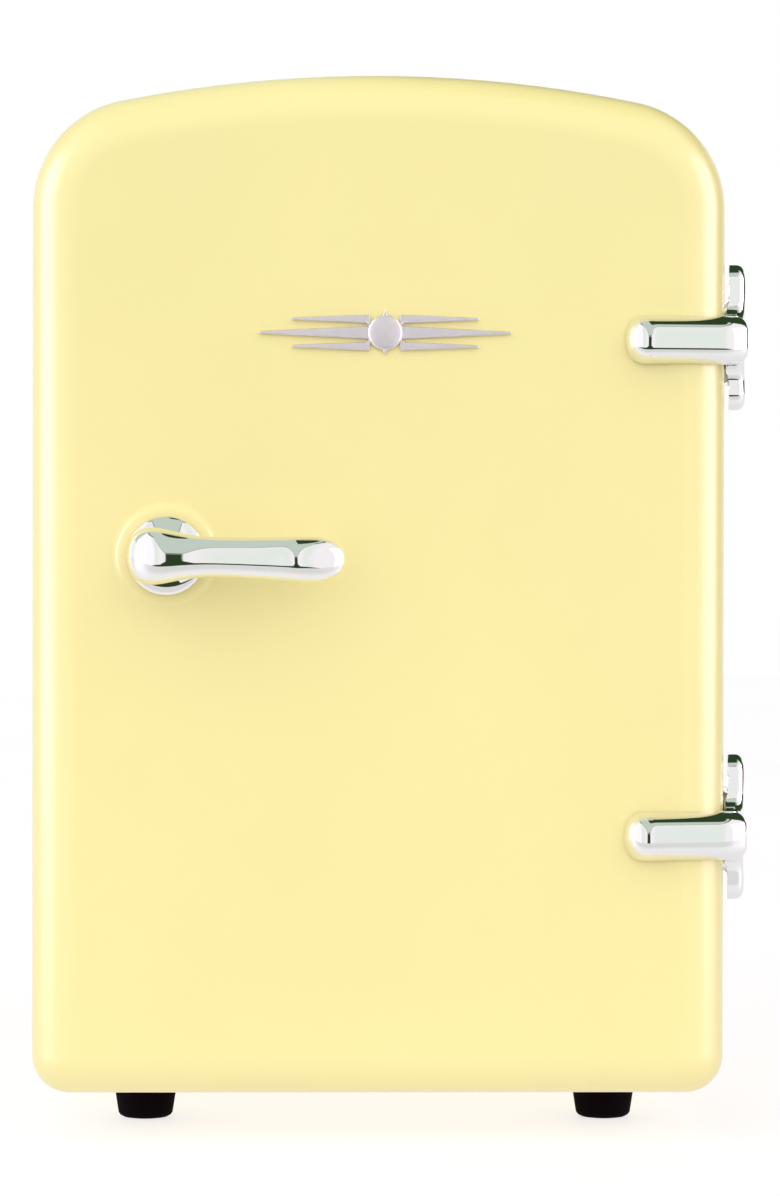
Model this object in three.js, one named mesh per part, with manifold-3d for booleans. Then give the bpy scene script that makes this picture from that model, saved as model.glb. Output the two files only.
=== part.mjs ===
// A tabletop thermoelectric fridge with an arched top, a full-height door on the front,
// T-shaped hinges on the right and a lever pull on the left.
// Millimetres. X is width, Y is depth with the front at -Y, Z is height above the surface it stands on.
// The pieces are drawn with x = 0 on the body's centre line and y = 0 at the back of the door's rim;
// the whole group is then moved so that the centre of its footprint is the origin.

import * as THREE from "three";
import { mergeVertices } from "three/addons/utils/BufferGeometryUtils.js";
import Module from "manifold-3d";

const wasm = await Module();
wasm.setup();

// ---------------------------------------------------------------- driving dimensions
const BODY_W = 184;
const BODY_H = 270.5;
const FOOT_H = 12.5;
const DOOR_T = 44;
const CABINET_D = 200;
const SPLIT = 1.2; // open line between the door's rim and the cabinet
const GAP = 0.3; // between pieces that touch

const CROWN_R = 345; // the arched top
const SHOULDER_R = 29; // between the top and the sides
const BASE_R = 10; // bottom corners
const MIN_R = 1.5; // smallest corner left when the outline is inset
const FACE_INSET = 12.5; // rounded rim of the door's front, seen from the front
const FACE_DEPTH = 11; // the same rim, front to back
const REAR_R = 8; // rounded rear edge of the cabinet

const SHELL = 2.4; // wall of the yellow mouldings
const LINER = 2; // wall of the white mouldings

const CAVITY = { width: 136, height: 204, depth: 130, bottom: 41, radius: 9 };
const RECESS = { width: 120, height: 188, depth: 28, radius: 8 }; // hollow in the door liner
const PLUG = { width: 130, height: 198, radius: 10, front: -6, back: 3 }; // rim round that hollow
const FLANGE_Y = -5; // face of the door liner that carries the gasket

const HINGE = { heights: [214.1, 82.9], pinX: 95.8, pinR: 1.15, holeR: 1.45, barH: 39 };
const PULL = { x: -56.2, z: 155.4, rosetteR: 10.5, rosetteT: 2.5, screws: [-5, 5] };
const BOSS = { radius: 13.1, proud: 0.8 }; // raised round pad on the door behind the rosette

const REAR_OPENING = 15; // inset of the service opening in the cabinet's rear wall
const REAR_LEDGE = 21; // inset of the ledge that carries the rear cover
const COOLER = { z: 158, sink: 100, fan: 80, plate: 104, module: 40 };
const SOCKET_Z = 56;
const SOCKET_DEPTH = 14; // from the cover's face to the board behind the sockets

// ---------------------------------------------------------------- derived positions
const TOP_Z = FOOT_H + BODY_H;
const FACE_Y = -DOOR_T;
const REAR_Y = SPLIT + CABINET_D;
const SIDE_X = BODY_W / 2;
const CAVITY_Z = CAVITY.bottom + CAVITY.height / 2;
const CAVITY_BACK = SPLIT + CAVITY.depth;
const COVER_T = SHELL;
const PIN_Y = SPLIT / 2;
const PULL_SEAT = FACE_Y - BOSS.proud;

// ---------------------------------------------------------------- materials
const paint = (color, roughness, metalness = 0) =>
  new THREE.MeshStandardMaterial({ color, roughness, metalness });
const YELLOW = paint(0xfaeca5, 0.28);
const WHITE = paint(0xf1f1ee, 0.4);
const CHROME = paint(0xe6e6e8, 0.06, 1);
const STEEL = paint(0xb9bbbe, 0.35, 1);
const ALUMINIUM = paint(0xc8cacc, 0.4, 1);
const BLACK = paint(0x17161a, 0.5);
const RUBBER = paint(0x141214, 0.8);
const SEAL = paint(0xdedfdc, 0.7);
const FOAM = paint(0xf4f2ea, 0.95);
const CLEAR = paint(0xdfe8ea, 0.15);
const CERAMIC = paint(0xeeeeea, 0.5);
const BOARD = paint(0x2f6b3c, 0.6);
const RED = paint(0xb22a22, 0.5);

// ---------------------------------------------------------------- solids
const WELD = 1e-3;

// A closed geometry as a manifold-3d solid.
function solid(geometry) {
  const loose = geometry.index ? geometry.toNonIndexed() : geometry.clone();
  loose.deleteAttribute("normal");
  loose.deleteAttribute("uv");
  const welded = mergeVertices(loose, WELD);
  return new wasm.Manifold(
    new wasm.Mesh({
      numProp: 3,
      vertProperties: welded.attributes.position.array,
      triVerts: new Uint32Array(welded.index.array),
    }),
  );
}

const join = (first, ...rest) => rest.reduce((all, one) => all.add(one), first);
const cut = (first, ...rest) => rest.reduce((left, one) => left.subtract(one), first);

// A manifold-3d solid as a geometry.
function geometryOf(made) {
  const mesh = made.getMesh();
  const position = new Float32Array(mesh.numVert * 3);
  for (let i = 0; i < mesh.numVert; i++) {
    position.set(mesh.vertProperties.subarray(i * mesh.numProp, i * mesh.numProp + 3), i * 3);
  }
  const geometry = new THREE.BufferGeometry();
  geometry.setAttribute("position", new THREE.BufferAttribute(position, 3));
  geometry.setIndex(new THREE.BufferAttribute(mesh.triVerts, 1));
  geometry.computeVertexNormals();
  return geometry;
}

// ---------------------------------------------------------------- outlines and prisms
// Points of an arc, both ends included. Angles are in degrees.
function arc(x, y, radius, from, to, steps) {
  const points = [];
  for (let i = 0; i <= steps; i++) {
    const angle = THREE.MathUtils.degToRad(from + ((to - from) * i) / steps);
    points.push(new THREE.Vector2(x + radius * Math.cos(angle), y + radius * Math.sin(angle)));
  }
  return points;
}

const BASE_STEPS = 4;
const SHOULDER_STEPS = 8;
const CROWN_STEPS = 8;

// The body seen from the front, inset by a distance: x across, y up from the floor.
function bodyOutline(inset) {
  const crownZ = TOP_Z - CROWN_R;
  const shoulderX = SIDE_X - SHOULDER_R;
  const shoulderZ = crownZ + Math.sqrt((CROWN_R - SHOULDER_R) ** 2 - shoulderX ** 2);
  const lean = THREE.MathUtils.radToDeg(Math.atan2(shoulderX, shoulderZ - crownZ));
  const baseR = Math.max(BASE_R - inset, MIN_R);
  const baseX = SIDE_X - inset - baseR;
  const baseZ = FOOT_H + inset + baseR;
  const shoulderR = SHOULDER_R - inset;
  return [
    ...arc(baseX, baseZ, baseR, -90, 0, BASE_STEPS),
    ...arc(shoulderX, shoulderZ, shoulderR, 0, 90 - lean, SHOULDER_STEPS),
    ...arc(0, crownZ, CROWN_R - inset, 90 - lean, 90 + lean, CROWN_STEPS).slice(1, -1),
    ...arc(-shoulderX, shoulderZ, shoulderR, 90 + lean, 180, SHOULDER_STEPS),
    ...arc(-baseX, baseZ, baseR, 180, 270, BASE_STEPS),
  ];
}

function roundedRect(width, height, radius, x = 0, y = 0, steps = 4) {
  const dx = width / 2 - radius;
  const dy = height / 2 - radius;
  return [
    ...arc(x + dx, y - dy, radius, -90, 0, steps),
    ...arc(x + dx, y + dy, radius, 0, 90, steps),
    ...arc(x - dx, y + dy, radius, 90, 180, steps),
    ...arc(x - dx, y - dy, radius, 180, 270, steps),
  ];
}

const circle = (x, y, radius, steps = 24) => arc(x, y, radius, 0, 360, steps).slice(0, -1);

// How a drawing's x, y and thickness turn into X, Y and Z for each direction of extrusion.
const UP = new THREE.Matrix4();
const BACK = new THREE.Matrix4().makeBasis(
  new THREE.Vector3(1, 0, 0),
  new THREE.Vector3(0, 0, 1),
  new THREE.Vector3(0, -1, 0),
);
const RIGHT = new THREE.Matrix4().makeBasis(
  new THREE.Vector3(0, 1, 0),
  new THREE.Vector3(0, 0, 1),
  new THREE.Vector3(1, 0, 0),
);

function prism(points, thickness, direction) {
  const shape = new THREE.Shape(points);
  const geometry = new THREE.ExtrudeGeometry(shape, { depth: thickness, bevelEnabled: false });
  return solid(geometry.applyMatrix4(direction));
}

// An outline drawn on X and Z, filling y0 to y1.
const slabY = (points, y0, y1) => prism(points, y1 - y0, BACK).translate([0, y1, 0]);
// An outline drawn on Y and Z, filling x0 to x1.
const slabX = (points, x0, x1) => prism(points, x1 - x0, RIGHT).translate([x0, 0, 0]);
// An outline drawn on X and Y, filling z0 to z1.
const slabZ = (points, z0, z1) => prism(points, z1 - z0, UP).translate([0, 0, z0]);

function block(x0, x1, y0, y1, z0, z1) {
  const geometry = new THREE.BoxGeometry(x1 - x0, y1 - y0, z1 - z0);
  return solid(geometry.translate((x0 + x1) / 2, (y0 + y1) / 2, (z0 + z1) / 2));
}

// Front outlines at several depths joined into one closed solid. Each ring is [y, points].
function loft(rings) {
  const count = rings[0][1].length;
  const vertices = rings.flatMap(([y, points]) => points.flatMap((p) => [p.x, y, p.y]));
  const faces = [];
  for (let r = 0; r + 1 < rings.length; r++) {
    for (let i = 0; i < count; i++) {
      const a = r * count + i;
      const b = r * count + ((i + 1) % count);
      faces.push(a, b + count, b, a, a + count, b + count);
    }
  }
  const last = (rings.length - 1) * count;
  THREE.ShapeUtils.triangulateShape(rings[0][1], []).forEach(([a, b, c]) => faces.push(a, b, c));
  THREE.ShapeUtils.triangulateShape(rings.at(-1)[1], []).forEach(([a, b, c]) =>
    faces.push(last + a, last + c, last + b),
  );
  const geometry = new THREE.BufferGeometry();
  geometry.setAttribute("position", new THREE.Float32BufferAttribute(vertices, 3));
  geometry.setIndex(faces);
  return solid(geometry);
}

// A turned solid about the Y axis through (x, z). The profile holds [radius, y] pairs, with y rising.
function turnedY(profile, x = 0, z = 0, steps = 24) {
  const points = profile.map(([radius, y]) => new THREE.Vector2(radius, y));
  return solid(new THREE.LatheGeometry(points, steps).translate(x, 0, z));
}

// The same about a vertical axis through (x, y), with [radius, z] pairs.
function turnedZ(profile, x = 0, y = 0, steps = 24) {
  const points = profile.map(([radius, z]) => new THREE.Vector2(radius, z));
  return solid(new THREE.LatheGeometry(points, steps).rotateX(Math.PI / 2).translate(x, y, 0));
}

const rodY = (x, z, radius, y0, y1, steps = 24) =>
  turnedY([[0, y0], [radius, y0], [radius, y1], [0, y1]], x, z, steps);
const rodZ = (x, y, radius, z0, z1, steps = 24) =>
  turnedZ([[0, z0], [radius, z0], [radius, z1], [0, z1]], x, y, steps);

// ---------------------------------------------------------------- cabinet mouldings
const RIM_STEPS = 4;

// The door's outside, or a smaller copy of it inset all round, back to y1.
function doorBody(inset, y1) {
  const rings = [];
  for (let i = 0; i <= RIM_STEPS; i++) {
    const angle = (Math.PI / 2) * (i / RIM_STEPS);
    const y = FACE_Y + inset + FACE_DEPTH * (1 - Math.sin(angle));
    rings.push([y, bodyOutline(inset + FACE_INSET * (1 - Math.cos(angle)))]);
  }
  rings.reverse();
  rings.push([y1, bodyOutline(inset)]);
  return loft(rings);
}

// The cabinet's outside, or a smaller copy, from y0 to its rounded rear edge.
function cabinetBody(inset, y0) {
  const rings = [[y0, bodyOutline(inset)]];
  for (let i = 0; i <= RIM_STEPS; i++) {
    const angle = (Math.PI / 2) * (i / RIM_STEPS);
    const y = REAR_Y - inset - REAR_R * (1 - Math.sin(angle));
    rings.push([y, bodyOutline(inset + REAR_R * (1 - Math.cos(angle)))]);
  }
  return loft(rings);
}

const FOOT = { x: 63.3, topR: 9.2, soleR: 7.55, stemR: 2.7, holeR: 3.1 };
const FOOT_YS = [14, REAR_Y - 26];
const LEDGE_T = 2.4;
const COVER_SCREWS = [-1, 1].flatMap((side) => [54, 230].map((z) => [side * (SIDE_X - 18.3), z]));
const SCREW = { headR: 2.3, headT: 1.3, shankR: 1.2, holeR: 1.6 };
const LEAF = { y0: 4.4, y1: 24, thick: 2.2, z: -1.4, half: 10.6, screws: [-7.4, 4.6], screwY: 16.2 };

// A hole along X through the cabinet's side and the hinge leaf on it.
function sideHole(z) {
  const hole = new THREE.CylinderGeometry(SCREW.holeR, SCREW.holeR, 14, 12).rotateZ(Math.PI / 2);
  return solid(hole.translate(SIDE_X, LEAF.screwY, z));
}

function outerShell() {
  const wall = cut(cabinetBody(0, SPLIT), cabinetBody(SHELL, SPLIT - 1));
  const ledge = slabY(bodyOutline(REAR_R), REAR_Y - COVER_T - GAP - LEDGE_T, REAR_Y);
  const opening = slabY(bodyOutline(REAR_LEDGE), REAR_Y - 20, REAR_Y + 1);
  const rebate = slabY(bodyOutline(REAR_OPENING), REAR_Y - COVER_T - GAP, REAR_Y + 1);
  const footHoles = footPlaces().map(([x, y]) => rodZ(x, y, FOOT.holeR, FOOT_H - 1, FOOT_H + 5, 16));
  const screwHoles = COVER_SCREWS.map(([x, z]) => rodY(x, z, SCREW.holeR, REAR_Y - 10, REAR_Y, 12));
  const leafHoles = HINGE.heights.flatMap((z) => LEAF.screws.map((dz) => sideHole(z + dz)));
  return cut(join(wall, ledge), opening, rebate, ...footHoles, ...screwHoles, ...leafHoles);
}

const footPlaces = () => [-1, 1].flatMap((side) => FOOT_YS.map((y) => [side * FOOT.x, y]));

// A rubber foot that pushes into a hole in the cabinet's floor. Its sole is flat in the middle.
function foot() {
  return turnedZ([
    [0, 0],
    [5, 0],
    [FOOT.soleR - 0.6, 0.6],
    [FOOT.soleR, 1.6],
    [FOOT.topR, FOOT_H - GAP],
    [FOOT.stemR, FOOT_H - GAP],
    [FOOT.stemR, FOOT_H + SHELL + 1],
    [0, FOOT_H + SHELL + 1],
  ]);
}

const RAIL = { z: 163, height: 2, depth: 4, gap: 4.2, front: 14 }; // shelf rails in the cavity

function innerLiner() {
  const { width, height, radius, depth } = CAVITY;
  const flange = slabY(bodyOutline(SHELL + GAP), SPLIT, SPLIT + LINER);
  const tub = slabY(
    roundedRect(width + 2 * LINER, height + 2 * LINER, radius + LINER, 0, CAVITY_Z),
    SPLIT + 1,
    CAVITY_BACK + LINER,
  );
  const hollow = slabY(roundedRect(width, height, radius, 0, CAVITY_Z), SPLIT - 1, CAVITY_BACK);
  const window = slabY(roundedRect(44, 44, 3, 0, COOLER.z), CAVITY_BACK - 1, CAVITY_BACK + 4);
  const rails = [-1, 1].flatMap((side) =>
    [RAIL.z - RAIL.height, RAIL.z + RAIL.gap].map((z) => {
      const inner = side * (width / 2 - RAIL.depth);
      const outer = side * (width / 2 + 1);
      return block(
        Math.min(inner, outer),
        Math.max(inner, outer),
        SPLIT + RAIL.front,
        CAVITY_BACK + 0.5,
        z,
        z + RAIL.height,
      );
    }),
  );
  return join(cut(join(flange, tub), hollow, window), ...rails);
}

function cabinetFoam() {
  const { width, height, radius } = CAVITY;
  const space = LINER + GAP;
  const fill = slabY(bodyOutline(SHELL + 0.5), SPLIT + space, 153);
  const tub = slabY(
    roundedRect(width + 2 * space, height + 2 * space, radius + space, 0, CAVITY_Z),
    0,
    CAVITY_BACK + space,
  );
  const well = block(-21, 21, 100, 160, COOLER.z - 21, COOLER.z + 21);
  const footRoom = footPlaces().map(([x, y]) => rodZ(x, y, 5, FOOT_H, FOOT_H + 7, 12));
  const leafRoom = block(SIDE_X - 8, SIDE_X, 3, 28, 40, 240);
  const strikeRoom = block(-SIDE_X, -72, 3, 9, STRIKE_Z - 24, STRIKE_Z + 24);
  return cut(fill, tub, well, leafRoom, strikeRoom, ...footRoom);
}

// ---------------------------------------------------------------- shelf
const SHELF = { width: 133.4, depth: 96, thick: 3, bars: 11 };
const SHELF_BACK = CAVITY_BACK - 5;

function shelf() {
  const { width, depth, thick, bars } = SHELF;
  const front = SHELF_BACK - depth;
  const z = RAIL.z + GAP;
  const plate = block(-width / 2, width / 2, front, SHELF_BACK, z, z + thick);
  const lip = block(-56, 56, front, front + 2.4, z, z + 9);
  const pitch = (width - 20) / bars;
  const slots = [];
  for (let i = 0; i < bars; i++) {
    const x = -width / 2 + 10 + pitch * (i + 0.5);
    slots.push(block(x - 3, x + 3, front + 9, SHELF_BACK - 9, z - 1, z + thick + 1));
  }
  return cut(join(plate, lip), ...slots);
}

// ---------------------------------------------------------------- cooler
function coldPlate() {
  const half = COOLER.plate / 2;
  return slabY(roundedRect(2 * half, 2 * half, 6, 0, COOLER.z), CAVITY_BACK - 3.3, CAVITY_BACK - GAP);
}

function coldBlock() {
  const half = COOLER.module / 2;
  return block(-half, half, CAVITY_BACK, 153.6, COOLER.z - half, COOLER.z + half);
}

function coolingModule() {
  const half = COOLER.module / 2;
  return block(-half, half, 153.9, 157.7, COOLER.z - half, COOLER.z + half);
}

const FINS = { count: 15, thick: 1.4, base: 5, reach: 25 };

// An extruded comb: a base plate with upright fins.
function heatSink() {
  const half = COOLER.sink / 2 - 5;
  const y0 = 158;
  const outline = [new THREE.Vector2(-half, y0), new THREE.Vector2(half, y0)];
  const pitch = (2 * half - FINS.thick) / (FINS.count - 1);
  for (let i = FINS.count - 1; i >= 0; i--) {
    const left = -half + pitch * i;
    const right = left + FINS.thick;
    if (i < FINS.count - 1) outline.push(new THREE.Vector2(right, y0 + FINS.base));
    outline.push(new THREE.Vector2(right, y0 + FINS.reach), new THREE.Vector2(left, y0 + FINS.reach));
    if (i > 0) outline.push(new THREE.Vector2(left, y0 + FINS.base));
  }
  return slabZ(outline, COOLER.z - COOLER.sink / 2, COOLER.z + COOLER.sink / 2);
}

const FAN_Y0 = REAR_Y - COVER_T - GAP - 15;
const FAN_Y1 = REAR_Y - COVER_T - GAP;
const FAN_SCREW = 35.75; // half the spacing of the fan's corner holes
const FAN = { boreR: 38, hubR: 15.5, tipR: 36.6, blades: 7 };
const fanCorners = () =>
  [-1, 1].flatMap((sx) => [-1, 1].map((sz) => [sx * FAN_SCREW, COOLER.z + sz * FAN_SCREW]));

// A square frame with a round bore and a motor mount on four struts at its front.
function fanFrame() {
  const body = slabY(roundedRect(COOLER.fan, COOLER.fan, 4, 0, COOLER.z), FAN_Y0, FAN_Y1);
  const bore = rodY(0, COOLER.z, FAN.boreR, FAN_Y0 - 1, FAN_Y1 + 1, 40);
  const mount = rodY(0, COOLER.z, FAN.hubR, FAN_Y0, FAN_Y0 + 2, 20);
  const struts = [45, 135].map((turn) => {
    const bar = new THREE.BoxGeometry(2 * FAN.boreR + 3, 2, 3).translate(0, FAN_Y0 + 1, 0);
    return solid(bar.rotateY(THREE.MathUtils.degToRad(turn)).translate(0, 0, COOLER.z));
  });
  const axle = rodY(0, COOLER.z, 1.5, FAN_Y0 + 1, FAN_Y0 + 10, 12);
  const holes = fanCorners().map(([x, z]) => rodY(x, z, SCREW.holeR, FAN_Y0 - 1, FAN_Y1 + 1, 12));
  return cut(join(cut(body, bore), mount, ...struts, axle), ...holes);
}

// The hub spins on the frame's axle; each blade is a pitched plate.
function fanRotor() {
  const hub = turnedY(
    [
      [1.8, FAN_Y0 + 2.5],
      [FAN.hubR, FAN_Y0 + 2.5],
      [FAN.hubR, FAN_Y1 - 2],
      [0, FAN_Y1 - 1],
      [0, FAN_Y0 + 10.6],
      [1.8, FAN_Y0 + 10.6],
      [1.8, FAN_Y0 + 2.5],
    ],
    0,
    COOLER.z,
  );
  const blades = [];
  for (let i = 0; i < FAN.blades; i++) {
    const reach = FAN.tipR - FAN.hubR + 2;
    const plate = new THREE.BoxGeometry(reach, 14, 1.2).rotateX(THREE.MathUtils.degToRad(48));
    plate.translate(FAN.hubR - 2 + reach / 2, (FAN_Y0 + FAN_Y1) / 2 + 0.5, 0);
    plate.rotateY((2 * Math.PI * i) / FAN.blades).translate(0, 0, COOLER.z);
    blades.push(solid(plate));
  }
  return join(hub, ...blades);
}

// ---------------------------------------------------------------- rear cover and its fittings
const GRILLE = { boreR: 38.5, flangeR: 42.5, bar: 2, rings: [13, 19.5, 26, 32.5], thick: 1.8 };
const AC = { x: 40, width: 22, height: 14 };
const DC = { x: 4, width: 19, height: 15 };
const SWITCH = { x: -38, pivotY: REAR_Y - 3.5, rockerR: 8.4, rockerW: 8.6, opening: 18 };
const LED = { x: -38, z: SOCKET_Z + 21, radius: 1.9 };

function rearCover() {
  const y0 = REAR_Y - COVER_T;
  const plate = slabY(bodyOutline(REAR_OPENING + GAP), y0, REAR_Y);
  const through = (points) => slabY(points, y0 - 1, REAR_Y + 1);
  const vents = [-1, 1].flatMap((side) =>
    [50, 56, 62, 68].map((x) => through(roundedRect(3, 62, 1.4, side * x, COOLER.z, 2))),
  );
  const sockets = [
    through(roundedRect(AC.width - 3, AC.height - 3, 3, AC.x, SOCKET_Z)),
    through(roundedRect(DC.width - 3, DC.height - 3, 3, DC.x, SOCKET_Z)),
    through(roundedRect(SWITCH.rockerW + 2.8, SWITCH.opening + 2.8, 1.5, SWITCH.x, SOCKET_Z)),
    through(circle(LED.x, LED.z, LED.radius + GAP, 12)),
    through(circle(0, COOLER.z, GRILLE.boreR, 40)),
  ];
  const screws = [...COVER_SCREWS, ...fanCorners()].map(([x, z]) =>
    through(circle(x, z, SCREW.holeR, 12)),
  );
  const posts = POSTS.map(([x, z]) => rodY(x, z, 3, BOARD_Y + 1.6 + GAP, y0 + 1, 12));
  return join(cut(plate, ...vents, ...sockets, ...screws), ...posts);
}

// Concentric rings on six spokes, with a flange that lies on the cover.
function fanGrille() {
  const y0 = REAR_Y + GAP;
  const y1 = y0 + GRILLE.thick;
  const ring = (inner, outer, steps) =>
    cut(rodY(0, COOLER.z, outer, y0, y1, steps), rodY(0, COOLER.z, inner, y0 - 1, y1 + 1, steps));
  const hub = rodY(0, COOLER.z, 7.5, y0, y1, 16);
  const flange = ring(GRILLE.boreR - 0.6, GRILLE.flangeR, 32);
  const rings = GRILLE.rings.map((r) => ring(r - GRILLE.bar / 2, r + GRILLE.bar / 2, 24));
  const spokes = [0, 60, 120].map((turn) => {
    const bar = new THREE.BoxGeometry(2 * GRILLE.boreR, GRILLE.thick - 0.4, GRILLE.bar);
    bar.translate(0, y0 + GRILLE.thick / 2, 0).rotateY(THREE.MathUtils.degToRad(turn));
    return solid(bar.translate(0, 0, COOLER.z));
  });
  return join(hub, flange, ...rings, ...spokes);
}

// A moulded inlet: a thin bezel on the cover, a body through it, a hollow and contact pins.
function inlet(x, width, height, cavity, pins) {
  const bezel = slabY(roundedRect(width, height, 3, x, SOCKET_Z), REAR_Y + GAP, REAR_Y + 1.6);
  const body = slabY(
    roundedRect(width - 3.8, height - 3.8, 2.6, x, SOCKET_Z),
    REAR_Y - SOCKET_DEPTH,
    REAR_Y + 1,
  );
  const floor = REAR_Y - SOCKET_DEPTH + 3;
  const contacts = pins.map((dx) => rodY(x + dx, SOCKET_Z, 1.15, floor - 1, REAR_Y - 3, 8));
  return join(cut(join(bezel, body), slabY(cavity, floor, REAR_Y + 2)), ...contacts);
}

// Two round ends side by side, for a figure-eight plug.
function figureEight(x) {
  return [...arc(x + 4.2, SOCKET_Z, 3.7, -90, 90, 8), ...arc(x - 4.2, SOCKET_Z, 3.7, 90, 270, 8)];
}

const acInlet = () => inlet(AC.x, AC.width, AC.height, figureEight(AC.x), [-4.2, 4.2]);
const dcInlet = () =>
  inlet(DC.x, DC.width, DC.height, roundedRect(12, 8, 1.5, DC.x, SOCKET_Z), [-3, 3]);

function switchBezel() {
  const { x, rockerW, opening } = SWITCH;
  const frame = slabY(
    roundedRect(rockerW + 6, opening + 6, 2.5, x, SOCKET_Z),
    REAR_Y + GAP,
    REAR_Y + 1.6,
  );
  const tube = roundedRect(rockerW + 2, opening + 2, 1.2, x, SOCKET_Z);
  const sleeve = slabY(tube, REAR_Y - SOCKET_DEPTH, REAR_Y + 1);
  const hole = slabY(roundedRect(rockerW + 0.6, opening, 0.8, x, SOCKET_Z), REAR_Y - 12.6, REAR_Y + 3);
  return cut(join(frame, sleeve), hole);
}

// A rocker that tips about X: a round-ended bar with a shallow V in its face.
function switchRocker() {
  const { x, pivotY, rockerR, rockerW } = SWITCH;
  const side = [
    ...arc(pivotY, SOCKET_Z, rockerR, 115, 245, 10),
    new THREE.Vector2(pivotY + 6.2, SOCKET_Z - 7.1),
    new THREE.Vector2(pivotY + 4.8, SOCKET_Z),
    new THREE.Vector2(pivotY + 6.2, SOCKET_Z + 7.1),
  ];
  const trimmed = slabX(side, x - rockerW / 2, x + rockerW / 2);
  return cut(trimmed, block(x - 9, x + 9, pivotY - 9, pivotY - 5, SOCKET_Z - 9, SOCKET_Z + 9));
}

function statusLed() {
  return turnedY(
    [
      [0, REAR_Y - SOCKET_DEPTH],
      [LED.radius, REAR_Y - SOCKET_DEPTH],
      [LED.radius, REAR_Y + 0.2],
      [LED.radius * 0.7, REAR_Y + 0.9],
      [0, REAR_Y + 1.2],
    ],
    LED.x,
    LED.z,
    12,
  );
}

const BOARD_Y = REAR_Y - SOCKET_DEPTH - GAP - 1.6;
const POSTS = [-50, 50].flatMap((x) => [39, 88].map((z) => [x, z]));

// The power board: a card with a transformer, two capacitors, a heat spreader and a terminal block.
function controlBoard() {
  const card = block(-56, 56, BOARD_Y, BOARD_Y + 1.6, 34, 94);
  const transformer = block(-44, -18, BOARD_Y - 19, BOARD_Y + 0.5, 40, 64);
  const spreader = block(24, 46, BOARD_Y - 14, BOARD_Y + 0.5, 62, 65);
  const capacitors = [42, 56].map((z) => rodY(0, z, 5.5, BOARD_Y - 18, BOARD_Y + 0.5, 12));
  const terminals = block(-10, 22, BOARD_Y - 9, BOARD_Y + 0.5, 78, 86);
  return join(card, transformer, spreader, ...capacitors, terminals);
}

// A wire of round section along hand-placed points.
function wire(points, radius) {
  const path = new THREE.CatmullRomCurve3(points.map(([x, y, z]) => new THREE.Vector3(x, y, z)));
  const section = new THREE.Shape(circle(0, 0, radius, 6));
  return solid(new THREE.ExtrudeGeometry(section, { steps: 14, extrudePath: path }));
}

const moduleLead = () =>
  wire([[8, 155.6, 137.6], [8, 155.6, 122], [10, 156, 100], [12, 164, 86], [12, BOARD_Y - 9.7, 82]], 1.1);
const fanLead = () =>
  wire([[-30, 187, 117.6], [-30, 187, 110], [-22, 184, 102], [-8, 181.5, 97], [-4, 181, 86.7]], 1.1);

// A pan-head screw pointing forward (-Y), with the underside of its head at y = 0.
function panHeadScrew(length) {
  const { headR, headT, shankR } = SCREW;
  const shank = [[0, -length], [shankR, 1 - length], [shankR, 0]];
  const head = [[headR, 0], [headR, headT * 0.6], [headR * 0.6, headT], [0, headT]];
  return turnedY([...shank, ...head], 0, 0, 10);
}

// ---------------------------------------------------------------- door
const pullScrewPlaces = () => PULL.screws.map((dz) => [PULL.x, PULL.z + dz]);

function doorPanel() {
  const shell = cut(doorBody(0, 0), doorBody(SHELL, 1));
  const boss = turnedY(
    [
      [0, PULL_SEAT],
      [BOSS.radius - 0.8, PULL_SEAT],
      [BOSS.radius, FACE_Y],
      [BOSS.radius, FACE_Y + 1],
      [0, FACE_Y + 1],
    ],
    PULL.x,
    PULL.z,
    32,
  );
  const holes = [...pullScrewPlaces(), ...armScrewPlaces()].map(([x, z]) =>
    rodY(x, z, SCREW.holeR, FACE_Y - 2, FACE_Y + 5, 12),
  );
  return cut(join(shell, boss), ...holes);
}

function doorLiner() {
  const { width, height, depth, radius } = RECESS;
  const plate = slabY(bodyOutline(SHELL + GAP), FLANGE_Y - LINER, FLANGE_Y);
  const plug = slabY(
    roundedRect(PLUG.width, PLUG.height, PLUG.radius, 0, CAVITY_Z),
    PLUG.front,
    PLUG.back,
  );
  const tub = slabY(
    roundedRect(width + 2 * LINER, height + 2 * LINER, radius + LINER, 0, CAVITY_Z),
    -depth - LINER,
    FLANGE_Y,
  );
  const hollow = slabY(roundedRect(width, height, radius, 0, CAVITY_Z), -depth, PLUG.back + 1);
  return join(cut(join(plate, plug, tub), hollow), ...[-1, 1].map((side) => binHook(side * HOOK.x)));
}

function doorFoam() {
  const { width, height, depth, radius } = RECESS;
  const space = LINER + GAP;
  const back = FLANGE_Y - LINER - GAP;
  const fill = doorBody(SHELL + 0.5, back);
  const tub = slabY(
    roundedRect(width + 2 * space, height + 2 * space, radius + space, 0, CAVITY_Z),
    -depth - space,
    1,
  );
  const screwRoom = [...pullScrewPlaces(), ...armScrewPlaces()].map(([x, z]) =>
    rodY(x, z, 3.4, FACE_Y, -28, 10),
  );
  const magnetRoom = block(-SIDE_X, -72, -14, 0, STRIKE_Z - 20, STRIKE_Z + 20);
  return cut(fill, tub, ...screwRoom, magnetRoom);
}

// The soft seal: a ring on the liner's flange with a rounded lip towards the cabinet.
function doorGasket() {
  const y0 = FLANGE_Y + GAP;
  const y1 = SPLIT - GAP;
  const ring = (outer, inner, from, to) =>
    cut(slabY(bodyOutline(outer), from, to), slabY(bodyOutline(inner), from - 1, to + 1));
  return join(ring(5, 13.5, y0, y0 + 2), ring(6.5, 12, y0 + 1, y1));
}

const STRIKE_Z = 155;

function doorMagnet() {
  const y1 = FLANGE_Y - LINER - GAP;
  return block(-86, -78, y1 - 5, y1, STRIKE_Z - 16, STRIKE_Z + 16);
}

function strikePlate() {
  const y0 = SPLIT + LINER + GAP;
  return block(-87, -76, y0, y0 + 1.2, STRIKE_Z - 20, STRIKE_Z + 20);
}

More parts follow.
